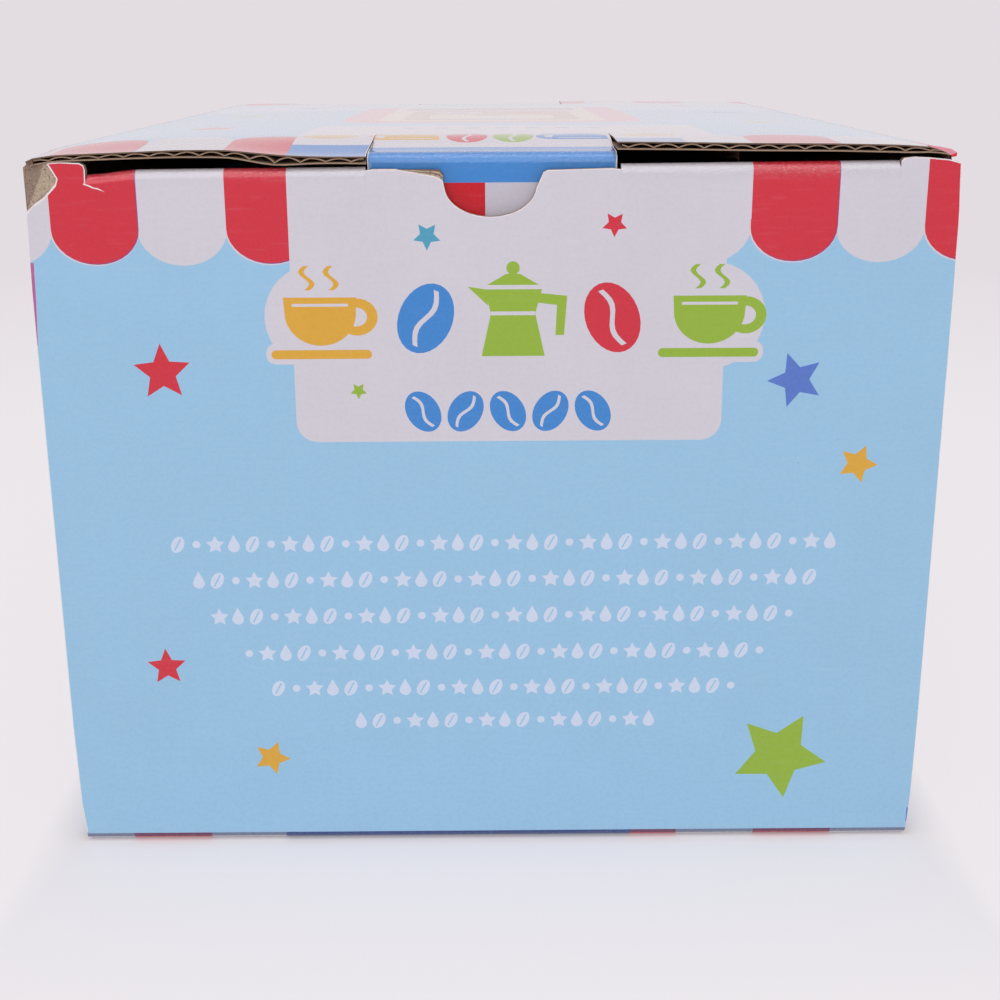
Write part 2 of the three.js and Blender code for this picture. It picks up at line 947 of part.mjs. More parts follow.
addMesh(
  "milk_carton",
  alongY(
    [
      [bayX - milkHalf, standZ],
      [bayX + milkHalf, standZ],
      [bayX + milkHalf, standZ + milkShoulder],
      [bayX + milkRidgeHalf, standZ + milkHeight],
      [bayX - milkRidgeHalf, standZ + milkHeight],
      [bayX - milkHalf, standZ + milkShoulder],
    ],
    milkY - milkHalf,
    milkY + milkHalf,
  ),
  "white",
);
const creamLidFoot = creamBodyHeight + gap;
addMesh(
  "cream_pot",
  turnedUp(
    [
      [0, 0],
      [creamRadius * 0.85, 0],
      [creamRadius, creamBodyHeight * 0.25],
      [creamRadius, creamBodyHeight * 0.7],
      [creamNeckRadius, creamBodyHeight],
      [creamNeckRadius - wellWall, creamBodyHeight],
      [creamNeckRadius - wellWall, creamBodyHeight - creamLidSpigot - 2 * gap],
      [0, creamBodyHeight - creamLidSpigot - 2 * gap],
    ],
    bayX,
    creamY,
    standZ,
    coarse,
  ),
  "white",
);
addMesh(
  "cream_pot_lid",
  turnedUp(
    [
      [0, creamBodyHeight - creamLidSpigot],
      [creamNeckRadius - wellWall - gap, creamBodyHeight - creamLidSpigot],
      [creamNeckRadius - wellWall - gap, creamLidFoot],
      [creamLidRadius, creamLidFoot],
      [creamLidRadius, creamLidFoot + creamLidThick * 0.7],
      [creamLidRadius * 0.85, creamLidFoot + creamLidThick],
      [0, creamLidFoot + creamLidThick],
    ],
    bayX,
    creamY,
    standZ,
    coarse,
  ),
  "blue",
);

export default root;
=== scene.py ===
import bmesh
import bpy
import json
import math
import numpy as np
from mathutils import Matrix, Vector
from mathutils.geometry import delaunay_2d_cdt

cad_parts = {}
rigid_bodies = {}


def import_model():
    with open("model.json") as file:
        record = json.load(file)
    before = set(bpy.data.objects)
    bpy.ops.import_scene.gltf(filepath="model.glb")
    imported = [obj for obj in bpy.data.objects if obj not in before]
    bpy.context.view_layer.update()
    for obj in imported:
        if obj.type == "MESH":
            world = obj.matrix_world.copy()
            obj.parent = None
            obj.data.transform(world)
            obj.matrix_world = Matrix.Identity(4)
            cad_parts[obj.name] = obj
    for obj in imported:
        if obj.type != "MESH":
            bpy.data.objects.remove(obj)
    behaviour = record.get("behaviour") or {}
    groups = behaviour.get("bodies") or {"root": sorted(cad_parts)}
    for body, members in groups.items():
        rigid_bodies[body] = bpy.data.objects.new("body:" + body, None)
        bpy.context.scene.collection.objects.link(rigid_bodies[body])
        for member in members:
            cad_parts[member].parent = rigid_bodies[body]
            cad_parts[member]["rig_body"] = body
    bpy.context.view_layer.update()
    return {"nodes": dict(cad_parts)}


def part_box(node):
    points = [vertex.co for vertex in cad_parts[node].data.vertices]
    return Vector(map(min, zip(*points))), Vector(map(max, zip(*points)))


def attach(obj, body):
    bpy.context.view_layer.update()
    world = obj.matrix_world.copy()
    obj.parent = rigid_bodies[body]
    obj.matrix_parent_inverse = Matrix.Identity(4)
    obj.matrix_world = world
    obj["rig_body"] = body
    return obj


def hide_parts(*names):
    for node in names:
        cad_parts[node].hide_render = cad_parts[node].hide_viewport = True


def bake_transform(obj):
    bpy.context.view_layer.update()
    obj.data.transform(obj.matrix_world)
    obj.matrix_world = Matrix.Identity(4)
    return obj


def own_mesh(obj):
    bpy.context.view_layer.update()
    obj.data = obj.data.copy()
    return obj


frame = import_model()
NODES = frame["nodes"]
RNG = np.random.default_rng(7)

# Sizes are in millimetres, and come from the frame where it has them.
MM = 0.001


def add_object(name, data):
    made = bpy.data.objects.new(name, data)
    bpy.context.scene.collection.objects.link(made)
    return made


def box_mm(node):
    low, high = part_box(node)
    return [c / MM for c in low], [c / MM for c in high]


# Outer faces: x of the side walls, y of the end panels and of the dust flaps, z under the face panel
SIDE = box_mm("right_side_panel")[1][0]
END = box_mm("rear_end_panel")[1][1]
DUST = box_mm("rear_dust_flap_left")[1][1]
LID_LOW = box_mm("face_panel")[0][2]
# The lock tab's foot and half width, and the edges of a tuck lobe, a little further out than the solid's
TAB_FOOT = box_mm("front_lock_tab")[0][2]
TAB_HALF = box_mm("front_lock_tab")[1][0]
LOBE_EASE = 0.2
LOBE_INNER = box_mm("front_tuck_flap_right")[0][0] + LOBE_EASE
LOBE_OUTER = box_mm("front_tuck_flap_right")[1][0] + LOBE_EASE
# The board, its liners and flutes, and the pale paper along a cut
BOARD = 2.3
LINER = 0.35
FLUTE_PITCH = 6.4
FLUTE_SHEET = 0.3
CUT_RIM = 0.26
# Outer radii of the creases, and the side walls' distance from the carton's box
BOTTOM_R, TOP_R, TUCK_R, DUST_R, TAB_R = 3.0, 3.2, 2.4, 3.0, 2.7
WALL = 0.05
# Height of the line between an end panel and its tuck lobes
SEAM_Z = 187.3

# The photo's viewpoint
LENS, SENSOR = 53.85, 36
PITCH, YAW, ROLL = (math.radians(angle) for angle in (16.89, 0.384, -0.24))
EYE = (-0.00124, -0.5582, 0.2208)


def make_camera():
    look = Vector((math.sin(YAW) * math.cos(PITCH), math.cos(YAW) * math.cos(PITCH), -math.sin(PITCH)))
    level = Vector((math.cos(YAW), -math.sin(YAW), 0))
    above = level.cross(look)
    right = level * math.cos(ROLL) + above * math.sin(ROLL)
    up = above * math.cos(ROLL) - level * math.sin(ROLL)
    camera = add_object("camera", bpy.data.cameras.new("camera"))
    camera.data.sensor_width = SENSOR
    camera.data.lens = LENS
    camera.data.clip_start = 0.01
    camera.matrix_world = Matrix.Translation(EYE) @ Matrix((right, up, -look)).transposed().to_4x4()
    bpy.context.scene.camera = camera
    bpy.context.scene.view_settings.view_transform = "Standard"


make_camera()


# Material helpers
def srgb(r, g, b):
    def linear(c):
        c = c / 255
        return c / 12.92 if c <= 0.04045 else ((c + 0.055) / 1.055) ** 2.4
    return (linear(r), linear(g), linear(b), 1)


def shade(rgba, k):
    return tuple(min(1, c * k) for c in rgba[:3]) + (1,)


class Nodes:
    """A small helper for building the node tree of a new material, or of a new world."""

    def __init__(self, name, kind="materials"):
        self.owner = getattr(bpy.data, kind).new(name)
        self.owner.use_nodes = True
        self.tree = self.owner.node_tree
        self.shader = self.tree.nodes["Principled BSDF" if kind == "materials" else "Background"]

    def add(self, kind, values=None, **props):
        node = self.tree.nodes.new(kind)
        for key, value in props.items():
            setattr(node, key, value)
        for key, value in (values or {}).items():
            if isinstance(value, bpy.types.NodeSocket):
                self.link(value, node.inputs[key])
            else:
                node.inputs[key].default_value = value
        return node

    def link(self, a, b):
        self.tree.links.new(a, b)

    def coords(self, source="UV", scale=(1, 1, 1)):
        node = self.add("ShaderNodeTexCoord")
        return self.add("ShaderNodeMapping", {"Vector": node.outputs[source], "Scale": scale}).outputs[0]

    def noise(self, vector, scale, detail=3, rough=0.55, distortion=0):
        values = {"Vector": vector, "Scale": scale, "Detail": detail, "Roughness": rough,
                  "Distortion": distortion}
        return self.add("ShaderNodeTexNoise", values).outputs["Fac"]

    def math(self, op, a, b=0.0):
        return self.add("ShaderNodeMath", {0: a, 1: b}, operation=op).outputs[0]

    def ramp(self, fac, low, high, to_low=0.0, to_high=1.0):
        values = {"Value": fac, "From Min": low, "From Max": high, "To Min": to_low, "To Max": to_high}
        return self.add("ShaderNodeMapRange", values).outputs["Result"]

    def mix(self, fac, a, b):
        return self.add("ShaderNodeMix", {0: fac, 6: a, 7: b}, data_type="RGBA").outputs[2]

    def attribute(self, name):
        return self.add("ShaderNodeAttribute", attribute_name=name).outputs["Fac"]

    def bump(self, height, strength, distance, normal=None):
        values = {"Height": height, "Strength": strength, "Distance": distance}
        if normal is not None:
            values["Normal"] = normal
        return self.add("ShaderNodeBump", values).outputs[0]

    def set(self, color=None, rough=None, normal=None, **sockets):
        for key, value in (("Base Color", color), ("Roughness", rough), ("Normal", normal)):
            if isinstance(value, bpy.types.NodeSocket):
                self.link(value, self.shader.inputs[key])
            elif value is not None:
                self.shader.inputs[key].default_value = value
        for key, value in sockets.items():
            self.shader.inputs[key.replace("_", " ")].default_value = value
        return self.owner

    def seen_directly(self):
        """1 where the camera sees the surface, also by reflection or through glass."""
        rays = self.add("ShaderNodeLightPath").outputs
        bent = self.math("MAXIMUM", rays["Is Glossy Ray"], rays["Is Transmission Ray"])
        return self.math("MAXIMUM", rays["Is Camera Ray"], bent)

    def mix_shader(self, share, other, output):
        """Shows a share of another shader over the main one."""
        mixed = self.add("ShaderNodeMixShader", {0: share, 1: self.shader.outputs[0], 2: other.outputs[0]})
        self.link(mixed.outputs[0], self.tree.nodes[output].inputs["Surface"])


def printed(name, rgb, coat):
    """Litho print on coated liner: faint flute washboard, mottled ink, specks, cracked creases and painted
    sheen.
    """
    n = Nodes(name)
    base = srgb(*rgb)
    paper = srgb(236, 230, 234)
    uv = n.coords()
    mottle = n.noise(uv, 40, 4, 0.6)
    patch = n.noise(uv, 700, 3, 0.6)
    grain = n.noise(uv, 2600, 2, 0.7)
    streaks = n.noise(n.coords(scale=(0.1, 1.3, 1)), 800, 3, 0.6)
    color = n.mix(n.ramp(mottle, 0.3, 0.7), shade(base, 0.985), shade(base, 1.015))
    color = n.mix(n.ramp(streaks, 0.45, 0.75, 0, 0.06), color, shade(base, 0.80))
    color = n.mix(n.ramp(streaks, 0.42, 0.25, 0, 0.05), color, paper)
    color = n.mix(n.ramp(grain, 0.35, 0.65, 0, 0.04), color, shade(base, 0.80))
    # The flutes telegraph through the liner.
    flutes = {"Vector": uv, "Scale": math.tau / 20 / (FLUTE_PITCH * MM), "Distortion": 0.8, "Detail": 1,
              "Detail Scale": 2}
    wave = n.add("ShaderNodeTexWave", flutes, bands_direction="X").outputs["Fac"]
    color = n.mix(n.ramp(wave, 0, 1, 0, 0.02), color, shade(base, 0.78))
    # Creases crack the print, in short dashes along the fold. The pale dashes and the even paper tone along
    # each crease are partly cracked print and partly a painted sheen.
    crease = n.attribute("crease")
    cracks = n.noise(n.coords(scale=(0.5, 1.6, 1)), 1600, 4, 0.75)
    cracks_and_painted_sheen = n.math("ADD", n.ramp(cracks, 0.52, 0.64, 0, 0.26), 0.05)
    color = n.mix(n.math("MULTIPLY", cracks_and_painted_sheen, crease), color, paper)
    specks = n.add("ShaderNodeTexVoronoi", {"Vector": uv, "Scale": 140}).outputs["Distance"]
    gate = n.ramp(n.noise(uv, 37, 2), 0.58, 0.60)
    color = n.mix(n.math("MULTIPLY", n.ramp(specks, 0.035, 0.02, 0, 0.5), gate), color, srgb(120, 108, 112))
    rough = n.ramp(patch, 0.3, 0.7, 0.23, 0.33)
    fine = n.bump(grain, 0.03, 0.00004)
    dimples = n.bump(patch, 0.03, 0.00004, fine)
    board = n.bump(wave, 0.2, 0.00010, dimples)
    wrinkle = n.math("MULTIPLY", n.noise(n.coords(scale=(0.6, 1.5, 1)), 1000, 5, 0.7), crease)
    normal = n.bump(wrinkle, 0.7, 0.00050, board)
    n.link(n.bump(wrinkle, 0.5, 0.00035), n.shader.inputs["Coat Normal"])
    return n.set(color, rough, normal, Specular_IOR_Level=0.25, Coat_Weight=coat, Coat_Roughness=0.09)


def kraft(name, rgb, fibre=1.0):
    """Brown recycled liner with long fibres and flecks, which stand out more where fibre is larger."""
    n = Nodes(name)
    base = srgb(*rgb)
    place = n.coords("Object")
    fibres = n.noise(n.coords("Object", (1, 0.16, 1)), 900, 5, 0.7)
    cloud = n.noise(place, 55, 4, 0.6)
    fleck = n.noise(place, 2200, 2, 0.5)
    dark, light = shade(base, 0.85 - 0.05 * fibre), shade(base, 1.13 + 0.03 * fibre)
    color = n.mix(n.ramp(fibres, 0.3, 0.7), dark, light)
    color = n.mix(n.ramp(cloud, 0.3, 0.7, 0.0, 0.5), color, shade(base, 0.9))
    start = 0.69 - 0.03 * fibre
    color = n.mix(n.ramp(fleck, start, start + 0.08, 0, 0.6 * fibre), color, srgb(92, 72, 56))
    color = n.mix(n.ramp(fleck, 0.34, 0.26, 0, 0.5 * fibre), color, srgb(214, 196, 172))
    return n.set(color, n.ramp(fibres, 0.3, 0.7, 0.82, 0.95), n.bump(fibres, 0.5, 0.0001))


def bare_wood(name, rgb, along):
    """Beech under satin lacquer, with its grain along one axis."""
    n = Nodes(name)
    base = srgb(*rgb)
    squeeze = tuple(0.5 if axis == along else 7 for axis in range(3))
    rings = n.noise(n.coords("Object", squeeze), 42, 5, 0.62, 0.5)
    pores = n.noise(n.coords("Object", tuple(4 * s for s in squeeze)), 150, 3, 0.6)
    color = n.mix(n.ramp(rings, 0.3, 0.7), shade(base, 0.84), shade(base, 1.10))
    color = n.mix(n.ramp(pores, 0.60, 0.70, 0, 0.45), color, shade(base, 0.55))
    return n.set(color, n.ramp(rings, 0.3, 0.7, 0.44, 0.58), n.bump(pores, 0.35, 0.0001))


def painted_wood(name, rgb):
    """Roller paint on wood: a slight orange peel and a soft sheen."""
    n = Nodes(name)
    base = srgb(*rgb)
    cloud = n.noise(n.coords("Object"), 40, 4, 0.6)
    peel = n.noise(n.coords("Object"), 900, 3, 0.6)
    color = n.mix(n.ramp(cloud, 0.3, 0.7), shade(base, 0.94), shade(base, 1.04))
    color = n.mix(n.ramp(peel, 0.6, 0.75, 0, 0.12), color, shade(base, 0.8))
    return n.set(color, n.ramp(cloud, 0.3, 0.7, 0.34, 0.46), n.bump(peel, 0.3, 0.00008))


def plain(name, rgb, rough, metallic=0.0):
    """Rubber, steel or paper: faintly cloudy, with a fine bump."""
    n = Nodes(name)
    base = srgb(*rgb)
    cloud = n.noise(n.coords("Object"), 400, 4, 0.6)
    color = n.mix(n.ramp(cloud, 0.3, 0.7), shade(base, 0.93), shade(base, 1.05))
    normal = n.bump(cloud, 0.2, 0.00008)
    return n.set(color, n.ramp(cloud, 0.3, 0.7, rough - 0.05, rough + 0.06), normal, Metallic=metallic)


PRINT = {
    "sky": (154, 199, 230),
    "white": (214, 209, 218),
    "red": (212, 24, 50),
    "plum": (150, 52, 128),
    # Painted shade: the top of the red stripes on the bottom crease
    "stripe_red_painted_shade": (104, 30, 78),
    # Painted shade: the side panel's red, dark where it shows past the end panel's left edge
    "side_panel_red_painted_shade": (186, 92, 152),
    "blue": (50, 132, 208),
    "royal": (82, 118, 202),
    "yellow": (224, 168, 44),
    "green": (148, 182, 44),
    "teal": (72, 158, 190),
    "pale": (210, 220, 240),
    "navy": (24, 60, 126),
    # Painted shade: the top of the white stripes on the bottom crease
    "dusk": (110, 120, 146),
    "beige": (226, 206, 178),
    "tan": (196, 160, 122),
    "grey": (150, 150, 158),
    # Painted shade: the tab's red and white, darker where they lie in the thumb notch
    "red_tucked_painted_shade": (203, 6, 30),
    "white_tucked_painted_shade": (200, 195, 206),
    "rose": (228, 146, 160),
    # Painted sheen: the paler blue of the lid's far part, for its washed-out glare
    "sky_painted_glare": (196, 214, 234),
}
COAT, TUCKED_COAT = 0.9, 0.3
MATERIALS = {key: printed("print_" + key, rgb, TUCKED_COAT if "tucked" in key else COAT)
             for key, rgb in PRINT.items()}
MATERIALS["kraft"] = kraft("kraft_liner", (168, 143, 120))
MATERIALS["cut"] = kraft("cut_flutes", (158, 131, 110), 0.6)
# Cut liner edges, and the raised cut's dark bands, which paint the shade in the gaps between its liners
MATERIALS["brown_edge"] = kraft("cut_outer_liner_and_painted_gap_shade", (112, 88, 72), 0.6)
MATERIALS["rim"] = kraft("cut_white_liner", (240, 230, 232), 0.25)
MATERIALS["torn"] = kraft("torn_liner", (186, 165, 144), 2.6)
# Painted shade: the peeled corner's facet past its fold line
MATERIALS["torn_shade"] = kraft("torn_liner_painted_shade", (150, 129, 112), 2.6)
MATERIALS["sheet"] = plain("leaflet_paper", (244, 242, 236), 0.7)

PAINT = {
    "red": (206, 44, 60),
    "white": (238, 234, 226),
    "grey": (142, 144, 150),
    "blue": (78, 150, 202),
    "yellow": (228, 176, 66),
    "green": (150, 178, 72),
}
SOLIDS = {key: painted_wood(key + "_paint_on_wood", rgb) for key, rgb in PAINT.items()}
SOLIDS["rubber"] = plain("black_rubber", (44, 44, 46), 0.82)
SOLIDS["steel"] = plain("brushed_steel", (188, 190, 194), 0.3, 1.0)
WOOD_TONE = (222, 188, 138)
BEECH = [bare_wood("beech_along_" + axis, WOOD_TONE, k) for k, axis in enumerate("xyz")]


# Flat shapes in millimetres
def rect(u0, u1, v0, v1):
    return [(u0, v0), (u1, v0), (u1, v1), (u0, v1)]


def arc(cx, cy, rx, ry, a0, a1, n):
    angles = np.radians(np.linspace(a0, a1, n + 1))
    return [(cx + rx * math.cos(a), cy + ry * math.sin(a)) for a in angles]


def disc(cx, cy, rx, n, ry=None):
    return arc(cx, cy, rx, ry or rx, 0, 360, n)[:-1]


def star(cx, cy, r, angle, inner=0.46):
    turns = [math.radians(angle + 36 * k) for k in range(10)]
    return [(cx + d * math.cos(t), cy + d * math.sin(t)) for d, t in zip([r, r * inner] * 5, turns)]


def outlined_stars(*rows):
    """Stars with a white rim, from rows of color, u, v, radius and angle."""
    return [shape for color, cx, cy, r, angle in rows
            for shape in (("white", star(cx, cy, r + 0.5, angle, 0.49)), (color, star(cx, cy, r, angle)))]


def rounded_rect(u0, u1, v0, v1, r, n=6):
    return (arc(u1 - r, v1 - r, r, r, 0, 90, n) + arc(u0 + r, v1 - r, r, r, 90, 180, n)
            + arc(u0 + r, v0 + r, r, r, 180, 270, n) + arc(u1 - r, v0 + r, r, r, 270, 360, n))


def moved(shapes, cx, cy, scale=1, tilt=0, flip=1):
    """Shapes scaled, tilted, turned upside down where flip is -1, and set at a place."""
    c, s = math.cos(math.radians(tilt)) * scale, math.sin(math.radians(tilt)) * scale
    return [(color, [(cx + flip * (x * c - y * s), cy + flip * (x * s + y * c)) for x, y in points])
            for color, points in shapes]


# Artwork: pitch and start of the awning's stripes, how far the red slips off its shadow, and coffee motifs
STRIPE = 22.475
STRIPE_0 = -113.75
FRINGE = 0.2


def lobe(u0, top, straight, end, grow, slip=0.0, short=0.0):
    """One stripe with a round end, grown by a margin, slipped sideways and shortened at its end."""
    u1 = u0 + STRIPE
    sign = 1 if top > end else -1
    half = (u1 - u0) / 2 + grow
    curve = arc((u0 + u1) / 2 + slip, 0, half, abs(straight - end) + grow - short, 180, 360, 16)
    round_end = [(u, straight + v * sign) for u, v in curve]
    return [(u0 - grow + slip, top)] + round_end + [(u1 + grow + slip, top)]


def awning(u_low, u_high, top, straight, end, shift=0.0):
    """Stripes from v=top to round ends at v=end: white, and red printed a hair off its plum shadow."""
    first = math.floor((u_low - STRIPE_0 - shift) / STRIPE) - 1
    last = math.ceil((u_high - STRIPE_0 - shift) / STRIPE) + 1
    starts = [(k, STRIPE_0 + shift + STRIPE * k) for k in range(first, last)]
    stripe = (top, straight, end)
    shapes = [("white", lobe(u0, *stripe, 0.3)) for k, u0 in starts if k % 2]
    red = [u0 for k, u0 in starts if k % 2 == 0]
    shapes += [("white", lobe(u0, *stripe, 0.28)) for u0 in red]
    shapes += [("plum", lobe(u0, *stripe, -0.05, FRINGE)) for u0 in red]
    return shapes + [("red", lobe(u0, *stripe, -0.12, 0.0, 0.2)) for u0 in red]


def cup_motif(color, steam=True, gap="white"):
    """A round coffee cup on a saucer, about 20 wide, with two wisps of steam if wanted."""
    body = arc(0, 1.2, 7.4, 6.8, 180, 360, 20) + [(7.6, 4.5), (-7.6, 4.5)]
    shapes = [(color, disc(7.6, 0.4, 4.3, 22, 3.9)), (gap, disc(7.4, 0.4, 2.3, 18, 2.0)), (color, body),
              (gap, rect(-5.8, 5.8, 2.6, 3.2)), (color, rounded_rect(-10.5, 10.5, -8.4, -6.5, 0.9, 4))]
    for x in (-2.6, 2.4) if steam else ():
        wisp = [(x + 1.1 * math.sin(t * 1.25) - 0.55, 6.0 + t) for t in np.linspace(0, 5, 9)]
        wisp += [(u + 1.15, v) for u, v in reversed(wisp)]
        shapes.append((color, wisp))
    return shapes


def bean_motif(color, gap="white"):
    """A coffee bean with its curved slit."""
    slit = [(0.9 * math.sin(t * 0.55) - 0.55, t) for t in np.linspace(-6.2, 6.2, 11)]
    slit += [(x + 1.1, t) for x, t in reversed(slit)]
    return [(color, disc(0, 0, 5.6, 28, 7.6)), (gap, slit)]


def pot_motif(color):
    """A stove pot with a lid, spout and handle, about 20 high."""
    body = [(-6.6, -8), (6.6, -8), (4.6, 1.0), (6.0, 6.0), (-6.0, 6.0), (-4.6, 1.0)]
    spout = [(-5.6, 6.0), (-9.4, 6.6), (-5.2, 2.6)]
    grip = [(5.4, 5.2), (11.2, 4.6), (10.6, -3.6), (8.8, -3.6), (9.1, 2.7), (5.0, 3.2)]
    lid = [(-5.4, 6.9), (5.4, 6.9), (1.4, 9.2), (-1.4, 9.2)]
    return [(color, body), (color, spout), (color, grip), (color, lid), (color, disc(0, 10.4, 1.4, 12)),
            ("white", rect(-4.6, 4.6, 0.6, 1.4))]


def motif_line(cx, cy, half, phase):
    """A line of tiny pale motifs: beans, dots, stars and drops."""
    pitch = 5.1
    count = int(2 * half / pitch) + 1
    bean = [("pale", disc(0, 0, 1.55, 12, 2.3)), ("sky", rect(-0.2, 0.2, -1.7, 1.7))]
    dot = [("pale", disc(0, 0, 1.0, 10))]
    spark = [("pale", star(0, -0.1, 2.4, 90, 0.5))]
    drop = [("pale", [(0, 2.5)] + arc(0, -0.6, 1.5, 1.5, 35, -215, 10))]
    shapes = []
    for k in range(count):
        motif, tilt = ((bean, -28), (dot, 0), (spark, 0), (drop, 0))[(k + phase) % 4]
        shapes += moved(motif, cx + pitch * (k - (count - 1) / 2), cy, 1.1, tilt)
    return shapes


# Corrugated boards
def inside(points, polygon):
    """Even-odd test of many points against one polygon."""
    x, y = points[:, 0], points[:, 1]
    poly = np.array(polygon)
    low, high = poly.min(0), poly.max(0)
    near = np.flatnonzero((x >= low[0]) & (x <= high[0]) & (y >= low[1]) & (y <= high[1]))
    found = np.zeros(len(near), bool)
    px, py = x[near], y[near]
    for (x0, y0), (x1, y1) in zip(poly, np.roll(poly, -1, 0)):
        if y0 != y1:
            found ^= ((y0 > py) != (y1 > py)) & (px < (x1 - x0) * (py - y0) / (y1 - y0) + x0)
    result = np.zeros(len(points), bool)
    result[near] = found
    return result


def unit(vectors):
    return vectors / np.maximum(np.linalg.norm(vectors, axis=1, keepdims=True), 1e-9)


def subdivide(polygon, step):
    """The polygon with points added, so that no edge is longer than step."""
    out = []
    for (u0, v0), (u1, v1) in zip(polygon, polygon[1:] + polygon[:1]):
        count = max(1, int(math.ceil(math.hypot(u1 - u0, v1 - v0) / step)))
        out += [(u0 + (u1 - u0) * k / count, v0 + (v1 - v0) * k / count) for k in range(count)]
    return out


def inset(loop, width):
    """The loop moved inwards by width(u, v), taken at the middle of each edge."""
    points = np.array(loop)
    after = np.roll(points, -1, 0)
    run = after - points
    normal = unit(np.stack([-run[:, 1], run[:, 0]], 1))
    reach = np.array([width(u, v) for u, v in (points + after) / 2])
    out = []
    for p, n0, n1, r0, r1 in zip(points, np.roll(normal, 1, 0), normal, np.roll(reach, 1), reach):
        det = n0[0] * n1[1] - n0[1] * n1[0]
        if abs(det) < 0.1:
            move = (n0 * r0 + n1 * r1) / 2
        else:
            move = ((r0 * n1[1] - r1 * n0[1]) / det, (r1 * n0[0] - r0 * n1[0]) / det)
        out.append((p[0] + move[0], p[1] + move[1]))
    return out


# Points this close become one, and smaller triangles are left out.
MERGE_WITHIN = 1e-4
LEAST_AREA = 1e-7


def triangulate(outline, loops, lines, grid):
    """Delaunay triangles inside an outline, with every loop and line kept as an edge."""
    points, edges = [], []
    for chains, closing in (([outline] + loops, 0), (lines, 1)):
        for chain in chains:
            start, count = len(points), len(chain)
            points.extend(chain)
            edges.extend((start + k, start + (k + 1) % count) for k in range(count - closing))
    low, high = np.array(outline).min(0), np.array(outline).max(0)
    us = np.arange(low[0] + grid / 2, high[0], grid)
    vs = np.arange(low[1] + grid / 2, high[1], grid)
    lattice = np.array([(u, v) for v in vs for u in us]).reshape(-1, 2)
    points.extend(map(tuple, lattice[inside(lattice, outline)]))
    result = delaunay_2d_cdt([Vector(p) for p in points], edges, [], 0, MERGE_WITHIN)
    coords = np.array([(p.x, p.y) for p in result[0]])
    faces = np.array([f for f in result[2] if len(f) == 3])
    a, b, c = (coords[faces[:, k]] for k in range(3))
    area = (b[:, 0] - a[:, 0]) * (c[:, 1] - a[:, 1]) - (b[:, 1] - a[:, 1]) * (c[:, 0] - a[:, 0])
    faces[area < 0] = faces[area < 0][:, ::-1]
    centres = (a + b + c) / 3
    keep = inside(centres, outline) & (abs(area) > LEAST_AREA)
    used, faces = np.unique(faces[keep], return_inverse=True)
    return coords[used], faces.reshape(-1, 3), centres[keep]


def constant(value):
    return lambda u, v: np.full(np.shape(u), float(value))


# The longest edges of a board's outline, of its cut and of its artwork
OUTLINE_STEP, CUT_STEP, ART_STEP = 5.0, 3.0, 6.0
# The medium: samples of a flute, points along it, distance from the cut on both axes, and least height
FLUTE_SAMPLES = 12
ROW_STEP = 22
EDGE_GAP, SPAN_GAP = 0.12, 0.15
CRUSHED = 0.86


